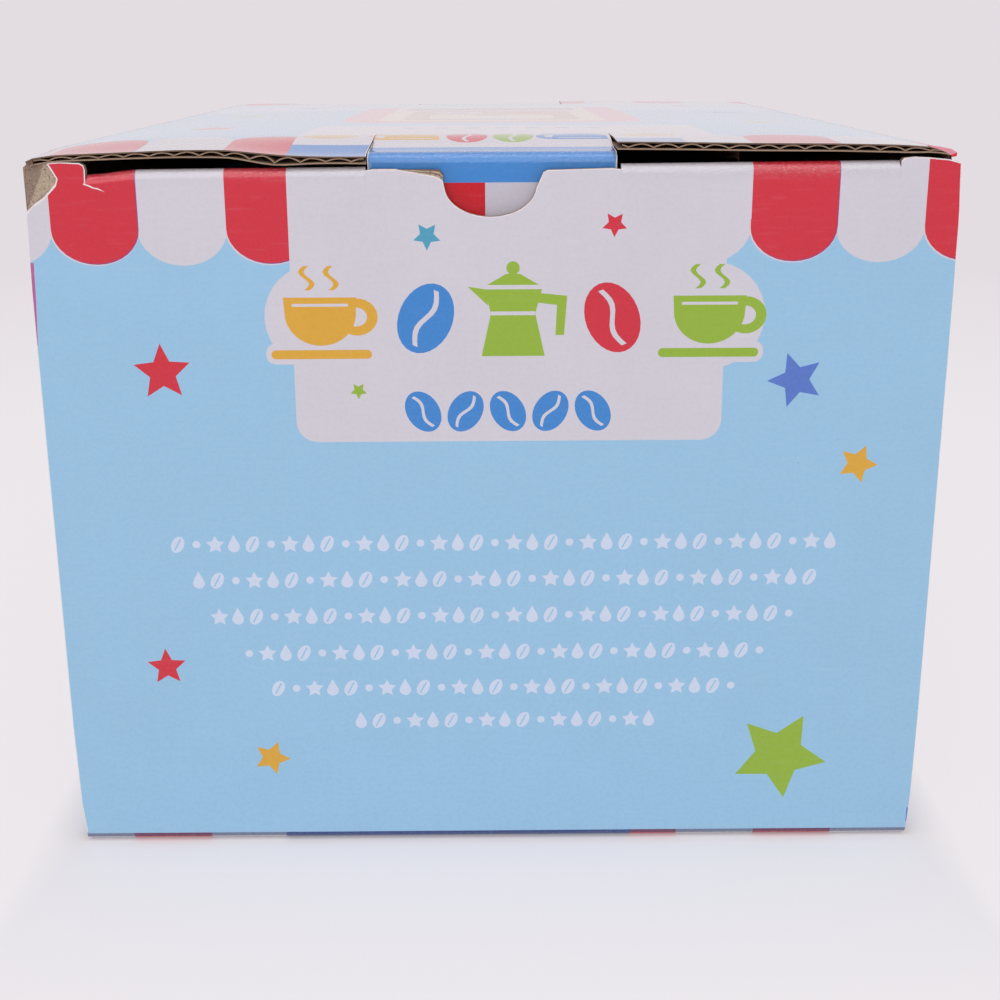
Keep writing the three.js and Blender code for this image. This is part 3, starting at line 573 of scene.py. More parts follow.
class Board:
    """A piece of corrugated board folded by surf(u, v): printed outer liner, fluted medium and inner liner.

    side is +1 where the u and v directions and the outward normal are right-handed. art lists inks and their
    polygons, printed on the base ink. The triangles follow the points of lines, and their size is grid outside
    and coarse inside. thick is a number or a function of u and v. crease(u, v) says how far the print is
    cracked and lit by a painted sheen. rim(u, v) is the width of the pale paper along a cut edge, 0 where the
    board goes on in another piece. The flutes run along v or u, within wave_range across them. closed is the
    material of the edges of a board without waves. With waves it shuts the gap between the liners.
    """

    def __init__(self, name, outline, surf, art=(), base="sky", lines=(), grid=8.0, coarse=14.0, thick=BOARD,
                 side=1, flutes="v", wave_range=None, inner="kraft", crease=None, rim=None, top_edge=None,
                 waves=True, closed=None):
        self.name, self.surf, self.side, self.flutes = name, surf, side, flutes
        self.thick = thick if callable(thick) else constant(thick)
        self.crease = crease or constant(0)
        self.co, self.normals, self.uv = [], [], []
        self.faces, self.mats, self.smooth, self.slots = [], [], [], []
        self.count = 0
        outline = list(outline)
        if sum(p[0] * q[1] - q[0] * p[1] for p, q in zip(outline, outline[1:] + outline[:1])) < 0:
            outline.reverse()
        fine_outline = subdivide(outline, OUTLINE_STEP)
        self.print_sheet(fine_outline, art, base, list(lines), grid, rim)
        coords, faces, _ = triangulate(fine_outline, [], list(lines), coarse)
        self.sheet(coords, faces, self.slot(inner), 0.0, -1, True)
        cut = subdivide(outline, CUT_STEP)
        if waves:
            self.sheet(coords, faces, self.slot("kraft"), LINER, -1)
            self.sheet(coords, faces, self.slot("kraft"), -LINER, 1, True)
            self.edge(cut, (0.0, False), (LINER, False), top_edge or ("rim" if rim else "cut"))
            self.edge(cut, (-LINER, True), (0.0, True), "cut")
            self.medium(outline, wave_range)
            if closed:
                self.edge(cut, (LINER, False), (-LINER, True), closed)
        else:
            self.edge(cut, (0.0, False), (0.0, True), closed or "rim")

    def print_sheet(self, outline, art, base, lines, grid, rim):
        """The outer liner, cut along its artwork and coloured by it."""
        loops = [subdivide(list(points), ART_STEP) for _, points in art]
        if rim:
            loops.append(inset(outline, lambda u, v: rim(u, v) * RNG.uniform(0.75, 1.3)))
        coords, faces, centres = triangulate(outline, loops, lines, grid)
        colours = np.full(len(faces), self.slot(base))
        for colour, polygon in art:
            colours[inside(centres, polygon)] = self.slot(colour)
        if rim:
            colours[~inside(centres, loops[-1])] = self.slot("rim")
        self.sheet(coords, faces, colours, 0.0, 1)

    def slot(self, name):
        if name not in self.slots:
            self.slots.append(name)
        return self.slots.index(name)

    def frame_at(self, u, v):
        """Points on the outer surface and their outward normals."""
        h = 0.05
        p = self.surf(u, v)
        du = self.surf(u + h, v) - self.surf(u - h, v)
        dv = self.surf(u, v + h) - self.surf(u, v - h)
        return p, unit(np.cross(du, dv) * self.side)

    def points_at(self, u, v, depth, from_inner):
        """Points at a depth below the outer surface, or below the inner one, and the outward normals."""
        p, n = self.frame_at(u, v)
        total = depth + (self.thick(u, v) if from_inner else np.zeros(len(u)))
        return p - n * np.reshape(total, (-1, 1)), n

    def push(self, points, normals, uv):
        start = self.count
        self.count += len(points)
        self.co.append(points)
        self.normals.append(normals)
        self.uv.append(uv)
        return start

    def add_faces(self, faces, slots, smooth):
        self.faces.extend(faces)
        self.mats.extend(slots)
        self.smooth.extend([smooth] * len(faces))

    def sheet(self, coords, faces, colours, depth, facing, from_inner=False):
        p, n = self.points_at(coords[:, 0], coords[:, 1], depth, from_inner)
        start = self.push(p, n * facing, coords)
        order = faces if facing * self.side > 0 else faces[:, ::-1]
        self.add_faces((order + start).tolist(), np.broadcast_to(colours, len(faces)).tolist(), True)

    def edge(self, loop, outer, inner, material):
        """A strip along the cut edge, between two depths."""
        points = np.array(loop)
        a, n = self.points_at(points[:, 0], points[:, 1], *outer)
        b, _ = self.points_at(points[:, 0], points[:, 1], *inner)
        count = len(points)
        k = np.arange(count)
        after = np.roll(k, -1)
        out = np.cross(unit(a[after] - a), n) * self.side
        places = np.concatenate([a, b, a[after], b[after]])
        flat = np.concatenate([points, points, points[after], points[after]])
        start = self.push(places, np.concatenate([out] * 4), flat)
        quads = np.stack([k, k + count, k + 3 * count, k + 2 * count], 1) + start
        if self.side < 0:
            quads = quads[:, ::-1]
        self.add_faces(quads.tolist(), [self.slot(material)] * count, False)

    def medium(self, outline, wave_range):
        """The fluted sheet between the liners, cut to the outline."""
        swap = self.flutes == "u"
        loop = [(b, a) for a, b in outline] if swap else outline
        across = [p[0] for p in loop]
        low, high = min(across) + EDGE_GAP, max(across) - EDGE_GAP
        if wave_range:
            low, high = max(low, wave_range[0]), min(high, wave_range[1])
        phase = RNG.uniform(0, FLUTE_PITCH)
        crush = RNG.uniform(CRUSHED, 1.0, int((high - low) / FLUTE_PITCH) + 3)
        slot = self.slot("cut")
        previous = None
        for a in np.arange(low, high, FLUTE_PITCH / FLUTE_SAMPLES):
            cuts = sorted(y0 + (y1 - y0) * (a - x0) / (x1 - x0)
                          for (x0, y0), (x1, y1) in zip(loop, loop[1:] + loop[:1]) if (x0 > a) != (x1 > a))
            spans = [(cuts[k] + SPAN_GAP, cuts[k + 1] - SPAN_GAP) for k in range(0, len(cuts) - 1, 2)]
            angle = (a + phase) / FLUTE_PITCH * math.pi
            height = crush[int((a - low) / FLUTE_PITCH)]
            rows = [self.medium_row(a, span, swap, angle, height) for span in spans if span[1] - span[0] > 1]
            if previous and [r[1] for r in previous] == [r[1] for r in rows]:
                for (old, count), (new, _) in zip(previous, rows):
                    self.medium_strip(old, new, count, swap, slot)
            previous = rows

    def medium_row(self, a, span, swap, angle, crush):
        """One line of points along a flute, on both faces of the medium and at its ends."""
        height = abs(math.cos(angle)) ** 0.8 * crush
        slope = -0.8 * math.copysign(1, math.cos(angle)) * math.sin(angle) * math.pi / FLUTE_PITCH * 1.2
        bend = math.atan(slope)
        count = max(2, int((span[1] - span[0]) / ROW_STEP) + 1)
        b = np.linspace(*span, count)
        starts, sheets = [], []
        for face in (-1, 1):
            aa = np.full(count, a) + face * math.sin(bend) * FLUTE_SHEET / 2
            u, v = (b, aa) if swap else (aa, b)
            total = self.thick(u, v)
            room = (total - 2 * LINER - FLUTE_SHEET) / 2
            depth = total / 2 - room * (2 * height - 1) + face * math.cos(bend) * FLUTE_SHEET / 2
            p, n = self.frame_at(u, v)
            sheets.append(p - n * depth[:, None])
            starts.append(self.push(sheets[-1], -face * n, np.stack([u, v], 1)))
        run = sheets[0][-1] - sheets[0][0]
        run /= np.linalg.norm(run)
        ends = np.array([sheet[k] for k in (0, -1) for sheet in sheets])
        starts.append(self.push(ends, np.array([-run, -run, run, run]), np.zeros((4, 2)) + (u[0], v[0])))
        return starts, count

    def medium_strip(self, old, new, count, swap, slot):
        """Faces between two rows of points, on both faces of the medium and at its ends."""
        for i, flip in ((0, swap), (1, not swap)):
            quads = [[old[i] + k, new[i] + k, new[i] + k + 1, old[i] + k + 1] for k in range(count - 1)]
            if flip != (self.side < 0):
                quads = [q[::-1] for q in quads]
            self.add_faces(quads, [slot] * len(quads), True)
        low, high = [[old[2] + k, new[2] + k, new[2] + k + 1, old[2] + k + 1] for k in (0, 2)]
        if (self.side > 0) != swap:
            low.reverse()
        else:
            high.reverse()
        self.add_faces([low, high], [slot] * 2, False)

    def build(self, node=None, body=None):
        mesh = bpy.data.meshes.new(self.name)
        mesh.from_pydata((np.concatenate(self.co) * MM).tolist(), [], self.faces)
        mesh.polygons.foreach_set("material_index", self.mats)
        mesh.polygons.foreach_set("use_smooth", self.smooth)
        corners = np.zeros(len(mesh.loops), int)
        mesh.loops.foreach_get("vertex_index", corners)
        uv = np.concatenate(self.uv)
        # The first texture axis runs across the flutes.
        placed = uv[:, ::-1] if self.flutes == "u" else uv
        layer = mesh.uv_layers.new(name="UVMap")
        layer.data.foreach_set("uv", (placed[corners] * MM).astype(np.float32).ravel())
        crease = mesh.attributes.new("crease", "FLOAT", "POINT")
        crease.data.foreach_set("value", self.crease(uv[:, 0], uv[:, 1]).astype(np.float32))
        for ink in self.slots:
            mesh.materials.append(MATERIALS[ink])
        mesh.normals_split_custom_set_from_vertices(np.concatenate(self.normals).tolist())
        return finish_piece(self.name, mesh, node, body)


def xyz(x, y, z):
    x, y, z = np.broadcast_arrays(np.asarray(x, float), np.asarray(y, float), np.asarray(z, float))
    return np.stack([x, y, z], -1)


def turned(surf, y_sign):
    """The same surface, turned half a turn about Z for the rear end."""
    return (lambda u, v: surf(u, v) * np.array([-1, -1, 1])) if y_sign > 0 else surf


def hline(u0, u1, v, step):
    """A row of points along u, about a step apart."""
    count = max(2, int((u1 - u0) / step) + 1)
    return [(u, v) for u in np.linspace(u0, u1, count)]


def vline(u, v0, v1, step):
    return [(u, v) for v, _ in hline(v0, v1, 0, step)]


def arc_lengths(xs, ys):
    return np.concatenate([[0], np.cumsum(np.hypot(np.diff(xs), np.diff(ys)))])


def smoothstep(x):
    x = np.clip(x, 0, 1)
    return x * x * (3 - 2 * x)


def finish_piece(name, mesh, node=None, body=None):
    """Places a piece: the CAD node it replaces and the body it rides on."""
    piece = add_object(name, mesh)
    if node:
        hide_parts(node)
    if body:
        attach(piece, body)
    return piece


# The face panel, which is the lid as the carton lies
LID_SIDE = SIDE - WALL - TOP_R
LID_END = END - 0.06
SLIT_HALF = 32.0
SLIT_END = 135.0
CROWN = 2.6
# How far from the carton's ends the lid follows its bowed edges
EDGE_REACH = 34


def eased(points, reach=4):
    """Samples a bent line every millimetre and rounds its corners."""
    xs = np.arange(points[0][0], points[-1][0] + 0.5)
    zs = np.interp(xs, *zip(*points))
    kernel = np.exp(-np.linspace(-2, 2, 2 * reach + 1) ** 2)
    return xs, np.convolve(np.pad(zs, reach, mode="edge"), kernel / kernel.sum(), "valid")


# Height of the lid's front edge left and right of the tongue, bowed and crushed as in the photo
LEFT_EDGE = eased([(-118, 193.7), (-115, 194.3), (-111.2, 194.8), (-91.4, 195.5), (-80.5, 195.9),
                   (-67.7, 195.9), (-60.8, 195.2), (-51.9, 194.4), (-41.9, 194.1), (-32, 194.1)])
RIGHT_EDGE = eased([(32, 197.5), (49.5, 197.3), (65.4, 197.0), (87.3, 196.8), (104.3, 196.4), (112.3, 195.8),
                    (117.5, 194.7)])


def lid_crown(x, y):
    across = 1 - np.clip(np.abs(x) / LID_SIDE, 0, 1) ** 7
    along = 0.25 + 0.75 * smoothstep((150 - y) / 300)
    return LID_LOW + CROWN * across * along


def lid_z(x, y):
    edge = np.where(x < 0, np.interp(x, *LEFT_EDGE), np.interp(x, *RIGHT_EDGE))
    near_front = (1 - smoothstep((y + END) / EDGE_REACH)) ** 1.5
    near_rear = (1 - smoothstep((END - y) / EDGE_REACH)) ** 1.5
    front = (edge - lid_crown(x, -END * np.ones_like(x))) * near_front
    rear = (0.7 * np.sin(x / 31.0) - 0.6) * near_rear
    return lid_crown(x, y) + front + rear * (1 - np.clip(np.abs(x) / LID_SIDE, 0, 1) ** 4)


def lid_thick(u, v):
    """The flutes are crushed on the left and at the right corner, and swollen where the edge kinks."""
    crushed = 2.0 - 0.25 * smoothstep((-70 - u) / 30) - 0.8 * smoothstep((u - 104) / 12)
    kink = 0.75 * np.exp(-((u + 56) / 6.5) ** 2) - 0.2 * np.exp(-((u + 40) / 6) ** 2)
    return crushed + kink * np.exp(-((v + END) / 12) ** 2)


def product_picture():
    """A generic wooden coffee machine in a rose frame."""
    body = [("rose", rounded_rect(-50, 50, -62, 96, 14)), ("beige", rounded_rect(-38, 38, -50, 96, 8)),
            ("grey", rounded_rect(-34, 34, 62, 84, 5)), ("tan", rounded_rect(-30, 30, -40, 54, 5))]
    dials = [("white", disc(-12, 30, 9, 24)), ("grey", disc(-12, 30, 4, 16)), ("red", disc(14, 30, 6, 20))]
    bay = [("beige", rounded_rect(-22, 22, -30, 10, 4)), ("grey", rect(-6, 6, 2, 12)),
           ("grey", rounded_rect(-26, 26, -38, -32, 2))]
    return body + dials + bay + moved(cup_motif("white", False, "beige"), 0, -18, 0.95)


def lid_art():
    # The far part of the lid is printed a paler blue, a painted sheen for its glare.
    art = [("sky_painted_glare", rect(-125, 125, 60, 175)), ("sky", rect(-125, 125, -150, 60))]
    art += awning(-LID_SIDE, LID_SIDE, -175, -152, -141.5) + awning(-LID_SIDE, LID_SIDE, 175, 152, 141.5)
    art += [("white", rounded_rect(SIGN_LEFT, 60, -178, -84, 6)), ("white", rect(SIGN_LEFT, 60, -178, -160)),
            ("blue", rect(SIGN_LEFT, 49.4, -178, -155))]
    row = ((-44, bean_motif("yellow"), 90), (-22, cup_motif("yellow", False), 0),
           (-7.0, bean_motif("red"), 0), (5.5, bean_motif("green"), 0),
           (23.5, cup_motif("blue", False), 0), (42, bean_motif("yellow"), 90))
    for x, motif, tilt in row:
        art += moved(motif, x, -141, 1.0, tilt, -1)
    art += [("blue", disc(-24 + 9 * k, -100, 2.4, 14)) for k in range(7)]
    return art + product_picture() + outlined_stars(
        ("red", -84, -92, 9, 96), ("yellow", 86, -60, 8, 70), ("green", -88, 10, 11, 84),
        ("royal", 88, 30, 10, 100), ("teal", -76, 92, 8, 90), ("red", 82, 108, 7, 78))


def build_lid():
    left = [(-LID_SIDE, -LID_END), (-SLIT_HALF - 0.3, -LID_END), (-SLIT_HALF - 0.6, -164), (-SLIT_HALF, -150),
            (-SLIT_HALF, -SLIT_END)]
    right = [(SLIT_HALF, -SLIT_END), (SLIT_HALF, -150), (SLIT_HALF - 0.5, -LID_END), (LID_SIDE, -LID_END)]
    outline = left + right + [(-u, -v) for u, v in left + right]
    lines = [hline(-LID_SIDE + 0.5, LID_SIDE - 0.5, y, 4) for y in (-168, -164, -158, -151, 164, 158)]
    lines += [vline(side * x, -END + 0.5, END - 0.5, 12) for side in (-1, 1) for x in (116, 113, 108, 100)]

    def rim(u, v):
        seam = abs(u) > LID_SIDE - 1 or (abs(u) < SLIT_HALF + 0.1 and abs(v) < SLIT_END + 1)
        return 0 if seam else 0.7 * CUT_RIM

    lid = Board("face_panel_board", outline, lambda u, v: xyz(u, v, lid_z(u, v)), lid_art(), lines=lines,
                grid=7.0, thick=lid_thick, rim=rim, top_edge="brown_edge",
                crease=lambda u, v: 0.6 * smoothstep((np.abs(u) - 114.5) / 3))
    lid.build("face_panel", "carton")


# Tongue and lock tab
TONGUE_Z = {"front": (197.2, 194.8), "rear": (195.7, 194.9)}
TONGUE_STEPS = 30
TAB_BEND_STEPS = 15
TAB_CORNER = 8
NOTCH_BLUE_Z = 187.2
NOTCH_STRIPE_U = -2.1


def tongue_path(name):
    """Depths and heights by arc length, from the slit's end over the bend to the tab's foot."""
    start_z, drop_z = TONGUE_Z[name]
    along = np.linspace(0, 1, TONGUE_STEPS)
    ys = -SLIT_END - (DUST - TAB_R - SLIT_END) * along
    zs = start_z + (drop_z - start_z) * smoothstep(along * 1.02) * 0.96 - 0.1 * along
    turn = np.radians(np.linspace(0, 90, TAB_BEND_STEPS + 1))[1:]
    ys = np.concatenate([ys, -DUST + TAB_R - TAB_R * np.sin(turn)])
    zs = np.concatenate([zs, zs[-1] - TAB_R * (1 - np.cos(turn))])
    low = np.linspace(zs[-1], TAB_FOOT, 20)[1:]
    ys = np.concatenate([ys, np.full(len(low), -DUST)])
    zs = np.concatenate([zs, low])
    return arc_lengths(ys, zs), ys, zs


def tab_art(name, blue_end, total):
    """The lid's print on the tongue, blue over the bend, and the stripes that show in the thumb notch,
    printed darker as painted shade.
    """
    if name == "rear":
        art = [("sky", rect(-40, 40, -2, 6))] + awning(-SLIT_HALF, SLIT_HALF, 30, 12, 2)
        art += [("white", rect(-40, 40, 14, 20))]
    else:
        art = [(ink, [(x, -(y + SLIT_END)) for x, y in points]) for ink, points in lid_art()]
    art += [("blue", rect(-40, 40, 20, blue_end))]
    # The notch's red and white are printed darker than the lid's, as painted shade.
    for k in range(-2, 2):
        u0 = NOTCH_STRIPE_U + STRIPE * k
        art.append(("red_tucked_painted_shade" if k % 2 else "white_tucked_painted_shade", rect(u0, u0 + STRIPE, blue_end, total + 2)))
    return art


def build_tab(name, y_sign):
    arc_length, ys, zs = tongue_path(name)
    total, bend, bend_z = arc_length[-1], arc_length[TONGUE_STEPS - 1], zs[TONGUE_STEPS - 1]
    bend_end = TONGUE_STEPS + TAB_BEND_STEPS - 1

    def surf(u, v):
        y = np.interp(v, arc_length, ys)
        z = np.interp(v, arc_length, zs)
        # The tongue leaves the lid's own surface smoothly.
        own = lid_z(-y_sign * u, -y_sign * y)
        blend = smoothstep(v / 16)
        return xyz(u, y, z * blend + own * (1 - blend))

    r, corner_u, corner_v = TAB_CORNER, TAB_HALF - TAB_CORNER, total - TAB_CORNER
    right = [(SLIT_HALF - 0.2, 0), (SLIT_HALF - 0.2, bend + 3)] + arc(corner_u, corner_v, r, r, 0, 90, 6)
    left = [(-SLIT_HALF + 0.2, 0), (-SLIT_HALF - 0.3, 14), (-SLIT_HALF - 0.3, bend + 3)]
    outline = right + arc(-corner_u, corner_v, r, r, 90, 180, 6) + left[::-1]
    lines = [hline(-31, 31, v, 4) for v in [3, 8, 14, 20] + list(np.linspace(bend - 3, bend + 6.5, 14))]
    art = tab_art(name, arc_length[bend_end] + zs[bend_end] - NOTCH_BLUE_Z, total)
    tab = Board(name + "_lock_tab_board", outline, turned(surf, y_sign), art, "white", lines=lines, grid=5.0,
                side=-1, rim=lambda u, v: 0 if v < 0.5 else CUT_RIM, coarse=9.0,
                crease=lambda u, v: 0.9 * np.exp(-((v - bend - 1.0) / 2.6) ** 2))
    piece = tab.build(name + "_lock_tab")
    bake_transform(piece)


# Side panels with their rounded creases
CREASE_STEPS = 12
WALL_STEPS = 23
# How far the front end of each side's top crease is pinched towards the lid
PINCH = {-1: 0.15, 1: 0.8}


def side_profile(side):
    """Cross-section of one side by arc length: bottom crease, wall and top crease."""
    turn = np.radians(np.linspace(0, 90, CREASE_STEPS + 1))
    reach = SIDE - WALL
    wall = np.linspace(BOTTOM_R, LID_LOW - TOP_R, WALL_STEPS + 1)[1:]
    bottom_x = reach - BOTTOM_R + BOTTOM_R * np.sin(turn)
    top_x = reach - TOP_R + TOP_R * np.cos(turn[1:])
    top_z = LID_LOW - TOP_R + TOP_R * np.sin(turn[1:])
    xs = np.concatenate([bottom_x, np.full(WALL_STEPS, reach), top_x])
    zs = np.concatenate([BOTTOM_R - BOTTOM_R * np.cos(turn), wall, top_z])
    return arc_lengths(xs, zs), side * xs, zs


def side_art(total):
    art = awning(-175, 175, total + 4, total - 44, total - 54, shift=5.5)
    art += outlined_stars(("yellow", -128, 92, 10, 78), ("green", -96, 44, 14, 97),
                          ("royal", 118, 108, 12, 84), ("red", 138, 40, 9, 90), ("teal", 70, 26, 7, 70),
                          ("red", -52, 112, 8, 95))
    art += [("white", rounded_rect(-36, 60, 52, 116, 9))]
    art += moved(pot_motif("blue"), -14, 86, 1.5) + moved(cup_motif("red"), 22, 80, 1.2)
    art += moved(bean_motif("green"), 46, 98, 0.8, -25) + moved(bean_motif("yellow"), 44, 68, 0.7, 20)
    return art + motif_line(12, 36, 40, 0) + motif_line(12, 25, 30, 1)


def build_side(side, word):
    """One side panel. u runs along the carton, v up the wall and over the top crease."""
    s, xs, zs = side_profile(side)
    bent = CREASE_STEPS + WALL_STEPS + 1
    total, foot, shoulder = s[-1], s[CREASE_STEPS + 1], s[bent - 1]

    def surf(u, v):
        x, z = np.interp(v, s, xs), np.interp(v, s, zs)
        # The top crease meets the bowed lid, and is pinched at its front end.
        lift = (lid_z(np.full(np.shape(u), side * LID_SIDE), u) - LID_LOW) * smoothstep((z - LID_LOW + 5) / 5)
        pinch = PINCH[side] * smoothstep((z - LID_LOW + 9) / 6) * smoothstep((22 - END - u) / 22)
        return xyz(x - (x - side * LID_SIDE) * pinch, u, z + lift)

    def thick(u, v):
        at_lid = lid_thick(np.full(np.shape(u), side * LID_SIDE), u)
        return BOARD + (at_lid - BOARD) * smoothstep((v - total + 7) / 4)

    # Below the dust flap's shoulder the wall goes on in the flap's crease.
    fold = DUST - DUST_R
    right = [(fold, 0), (fold, 165.6), (DUST, 172), (DUST, s[bent] + 0.8), (END - 0.4, s[bent] + 2.2),
             (LID_END, total)]
    outline = right + [(-u, v) for u, v in reversed(right)]
    lines = [hline(-166, 166, v, 9) for v in list(s[1:CREASE_STEPS:2]) + list(s[bent:-1:2])]
    panel = Board(word + "_side_panel_board", outline, surf, side_art(total), lines=lines, grid=9.0,
                  thick=thick, side=side, flutes="u", wave_range=(foot + 1, shoulder), top_edge="brown_edge",
                  closed="brown_edge",
                  crease=lambda u, v: np.maximum(smoothstep((v - total + 5) / 3), smoothstep((5 - v) / 3)))
    panel.build(word + "_side_panel", "carton")


# The back panel, under the carton
BACK_SHIFT = 8.55
NAVY = (-61.1, 38.9)


def build_back():
    art = awning(-125, 125, -172, -148, -138, shift=BACK_SHIFT) + awning(-125, 125, 172, 148, 138)
    art += [("navy", rect(*NAVY, -175, -160)), ("white", rounded_rect(-50, 50, -34, 40, 9))]
    art += moved(cup_motif("blue"), 0, 4, 2.2)
    art += outlined_stars(("red", -84, 70, 12, 90), ("green", 82, 84, 14, 80), ("yellow", 88, -60, 10, 95),
                          ("royal", -88, -52, 11, 84), ("teal", 4, -96, 8, 90))
    for k, half in enumerate((70, 60, 42)):
        art += motif_line(0, 112 - 11 * k, half, k)
    half_x, half_y = SIDE - BOTTOM_R, END - BOTTOM_R
    panel = Board("back_panel_board", rect(-half_x, half_x, -half_y, half_y), lambda u, v: xyz(u, v, 0.0 * u),
                  art, grid=12.0, side=-1)
    panel.build("back_panel", "carton")


# End panels
SIGN_LEFT, SIGN_RIGHT = -52.8, 66.3
BOW = 0.16
# The cut sides, and the creases' ends, in from the carton's box
CUT_SIDE = SIDE - WALL
CREASE_HALF = 118.8
DROOP = math.radians(10)
LOBE_LENGTH = 33
# The peeled corner, its fold line, and the cut edge left of the thumb notch, as in the photo
TEAR = [(-113.4, 192.8), (-112.2, 190.8), (-111.1, 188.8), (-111.5, 187.6), (-113.2, 185.8), (-114.9, 184.1),
        (-117.0, 182.8), (-118.7, 181.3), (-119.5, 180.4)]
FOLD = [(-113.9, 192.6), (-119.0, 181.5)]
RAISED_CUT = [(-12.9, 187.9), (-13.8, 188.6), (-15.0, 189.1), (-20.7, 190.1), (-25.2, 190.9)]
# Places where the print cracked as the left slit was folded, and where the side's red shows in painted shade
CRACK = [(-104.4, 187.7), (-103.0, 187.3), (-101.8, 186.7), (-100.7, 186.5), (-99.0, 185.5), (-100.9, 186.2),
         (-102.0, 186.4), (-103.2, 187.0), (-104.4, 187.4)]
PLUM_SLIVER = [(-121, 167.6), (-118.8, 167.6), (-119.1, 158), (-119.7, 146), (-121, 146)]


def crest(u):
    """Height of the rounded crease above the end panel. It sinks to the left, as in the photo."""
    return 191.7 + 0.75 * np.clip(u / 100, -1, 1) - 1.2 * smoothstep((-90 - u) / 14)


def panel_bow(u, v):
    """How far the end panel's face lies inside the carton's box."""
    return BOW * np.sin(u / 37.0 + 0.6) * np.sin(v / 60.0) ** 2 + BOW


def sign_outline():
    """The white sign: square at the top, scooped beside the awning, with round lower corners."""
    r, foot = 5.6, 125
    scoop = [(SIGN_RIGHT - 5.9 * math.cos(t), 169.0 + 7.6 * math.sin(t))
             for t in np.radians((0, 20, 40, 60, 80))]
    return ([(SIGN_LEFT, 200), (SIGN_LEFT, foot)] + arc(-47.2, foot, r, r, 180, 270, 6)
            + arc(55.0, foot, r, r, 270, 360, 6) + scoop + [(SIGN_RIGHT, 178), (SIGN_RIGHT, 200)])


def end_art(name):
    art = awning(-122, 122, 200, 176.0, 167.0) + [("white", sign_outline())]
    row = ((-45.4, cup_motif("yellow"), 0), (-17.9, bean_motif("blue"), -24), (5.0, pot_motif("green"), 0),
           (31.0, bean_motif("red"), 22), (56.4, cup_motif("green"), 0))
    # The sign bulges around its two outer cups.
    bulge = 14.6
    for x in (row[0][0], row[-1][0]):
        art += [("white", disc(x, 153, bulge, 32, 14.2)),
                ("white", rounded_rect(x - bulge, x + bulge, 140.6, 146.2, 2.6))]
    for x, motif, tilt in row:
        art += moved(motif, x, 152.6, 1.26, tilt)
    for k in range(5):
        art += moved(bean_motif("blue"), -19.0 + 11.3 * k, 127.6, 0.78, -32 if k % 2 else 32)
    # Inner radius of a star as a share of its outer one
    slim, plump = 0.46, 0.5
    art += [(ink, star(u, v, r, a, inner)) for ink, u, v, r, a, inner in (
        ("teal", -17.2, 174.0, 3.7, -91, plump), ("red", 31.2, 176.8, 3.35, -91, plump),
        ("red", -87.6, 138.6, 7.8, 92, slim), ("green", -36.0, 133.4, 2.3, -90, plump),
        ("royal", 80.0, 135.7, 7.7, 110, slim), ("yellow", 97.9, 112.5, 5.5, -4, plump),
        ("red", -92.1, 54.6, 5.6, 92, slim), ("yellow", -64.1, 26.3, 5.3, -4, plump),
        ("green", 80.95, 26.1, 13.75, -10, plump))]
    for k, (v, half) in enumerate(((90.7, 90), (80.2, 85), (69.5, 81), (58.5, 73), (47.8, 65), (37.7, 43))):
        art += motif_line(2.5, v, half, 3 * k)
    if name == "front":
        # The plum sliver is the side panel's red in painted shade.
        art += [("rim", CRACK), ("side_panel_red_painted_shade", PLUM_SLIVER), ("royal", rect(118.9, 121, 4.5, 9))]
    return art


def end_outline(name):
    bottom_left = [(-CREASE_HALF, 3), (-119.5, 12), (-CUT_SIDE, 36), (-CUT_SIDE, 160)]
    bottom_right = [(CUT_SIDE, 160), (CUT_SIDE, 40), (119.7, 14), (119.2, 3)]
    right = [(LOBE_OUTER, SEAM_Z), (103.95, 192.4), (104.6, 193.1), (107.3, 193.4), (111, 193.2),
             (116.4, 192.7), (119.4, 191.9), (119.8, 180)]
    notch = arc(-0.75, 186.7, 11.8, 7.9, -176, -4, 20)
    lip = [(12.0, 188.2), (12.8, 190.0), (13.9, 190.5), (30.5, 190.9), (LOBE_INNER, 190.6),
           (LOBE_INNER, SEAM_Z)]
    left_lip = [(-LOBE_OUTER, SEAM_Z), (-LOBE_INNER, SEAM_Z), (-LOBE_INNER, 190.6), (-30.5, 190.9)]
    if name == "rear":
        shoulder = [(-119.8, 180), (-119.4, 191.9), (-107.3, 193.4), (-104.6, 193.1), (-103.9, 192.4)]
        cut = [(-13.9, 190.5), (-12.9, 190.0), (-12.4, 188.2)]
    else:
        shoulder = TEAR[::-1] + [(-110, 193.0), (-105.0, 192.8), (-104.0, 192.2), (-103.7, 191.0)]
        cut = RAISED_CUT[::-1]
    return bottom_left + shoulder + left_lip + cut + notch + lip + right + bottom_right


def end_rim(u, v):
    seam = v < 3.5 or abs(v - SEAM_Z) < 0.1 or LOBE_INNER - 0.3 < abs(u) < LOBE_INNER + 0.3
    if seam or 103 < u < 104.2:
        return 0
    if abs(u) > 119 and v < 180:
        return 0.12
    torn = -119.4 < u < -111 and 180.4 < v < 192.7
    return 0.42 if torn else CUT_RIM


def tuck_surf(u, v):
    """v is the height up to the crease, then the arc length over it and along the drooping lobe."""
    start = crest(u) - TUCK_R
    s = v - start
    flat = smoothstep((v - SEAM_Z) / 3)
    bow = panel_bow(u, np.minimum(v, SEAM_Z + 3)) * (1 - flat) + BOW * flat
    bend = np.clip(s / TUCK_R, 0, math.pi / 2 + DROOP)
    past = np.maximum(s - TUCK_R * (math.pi / 2 + DROOP), 0)
    y = -END + bow + TUCK_R - TUCK_R * np.cos(bend) + past * math.cos(DROOP)
    z = start + TUCK_R * np.sin(bend) - past * math.sin(DROOP)
    return xyz(u, np.where(s < 0, -END + bow, y), np.where(s < 0, v, z))


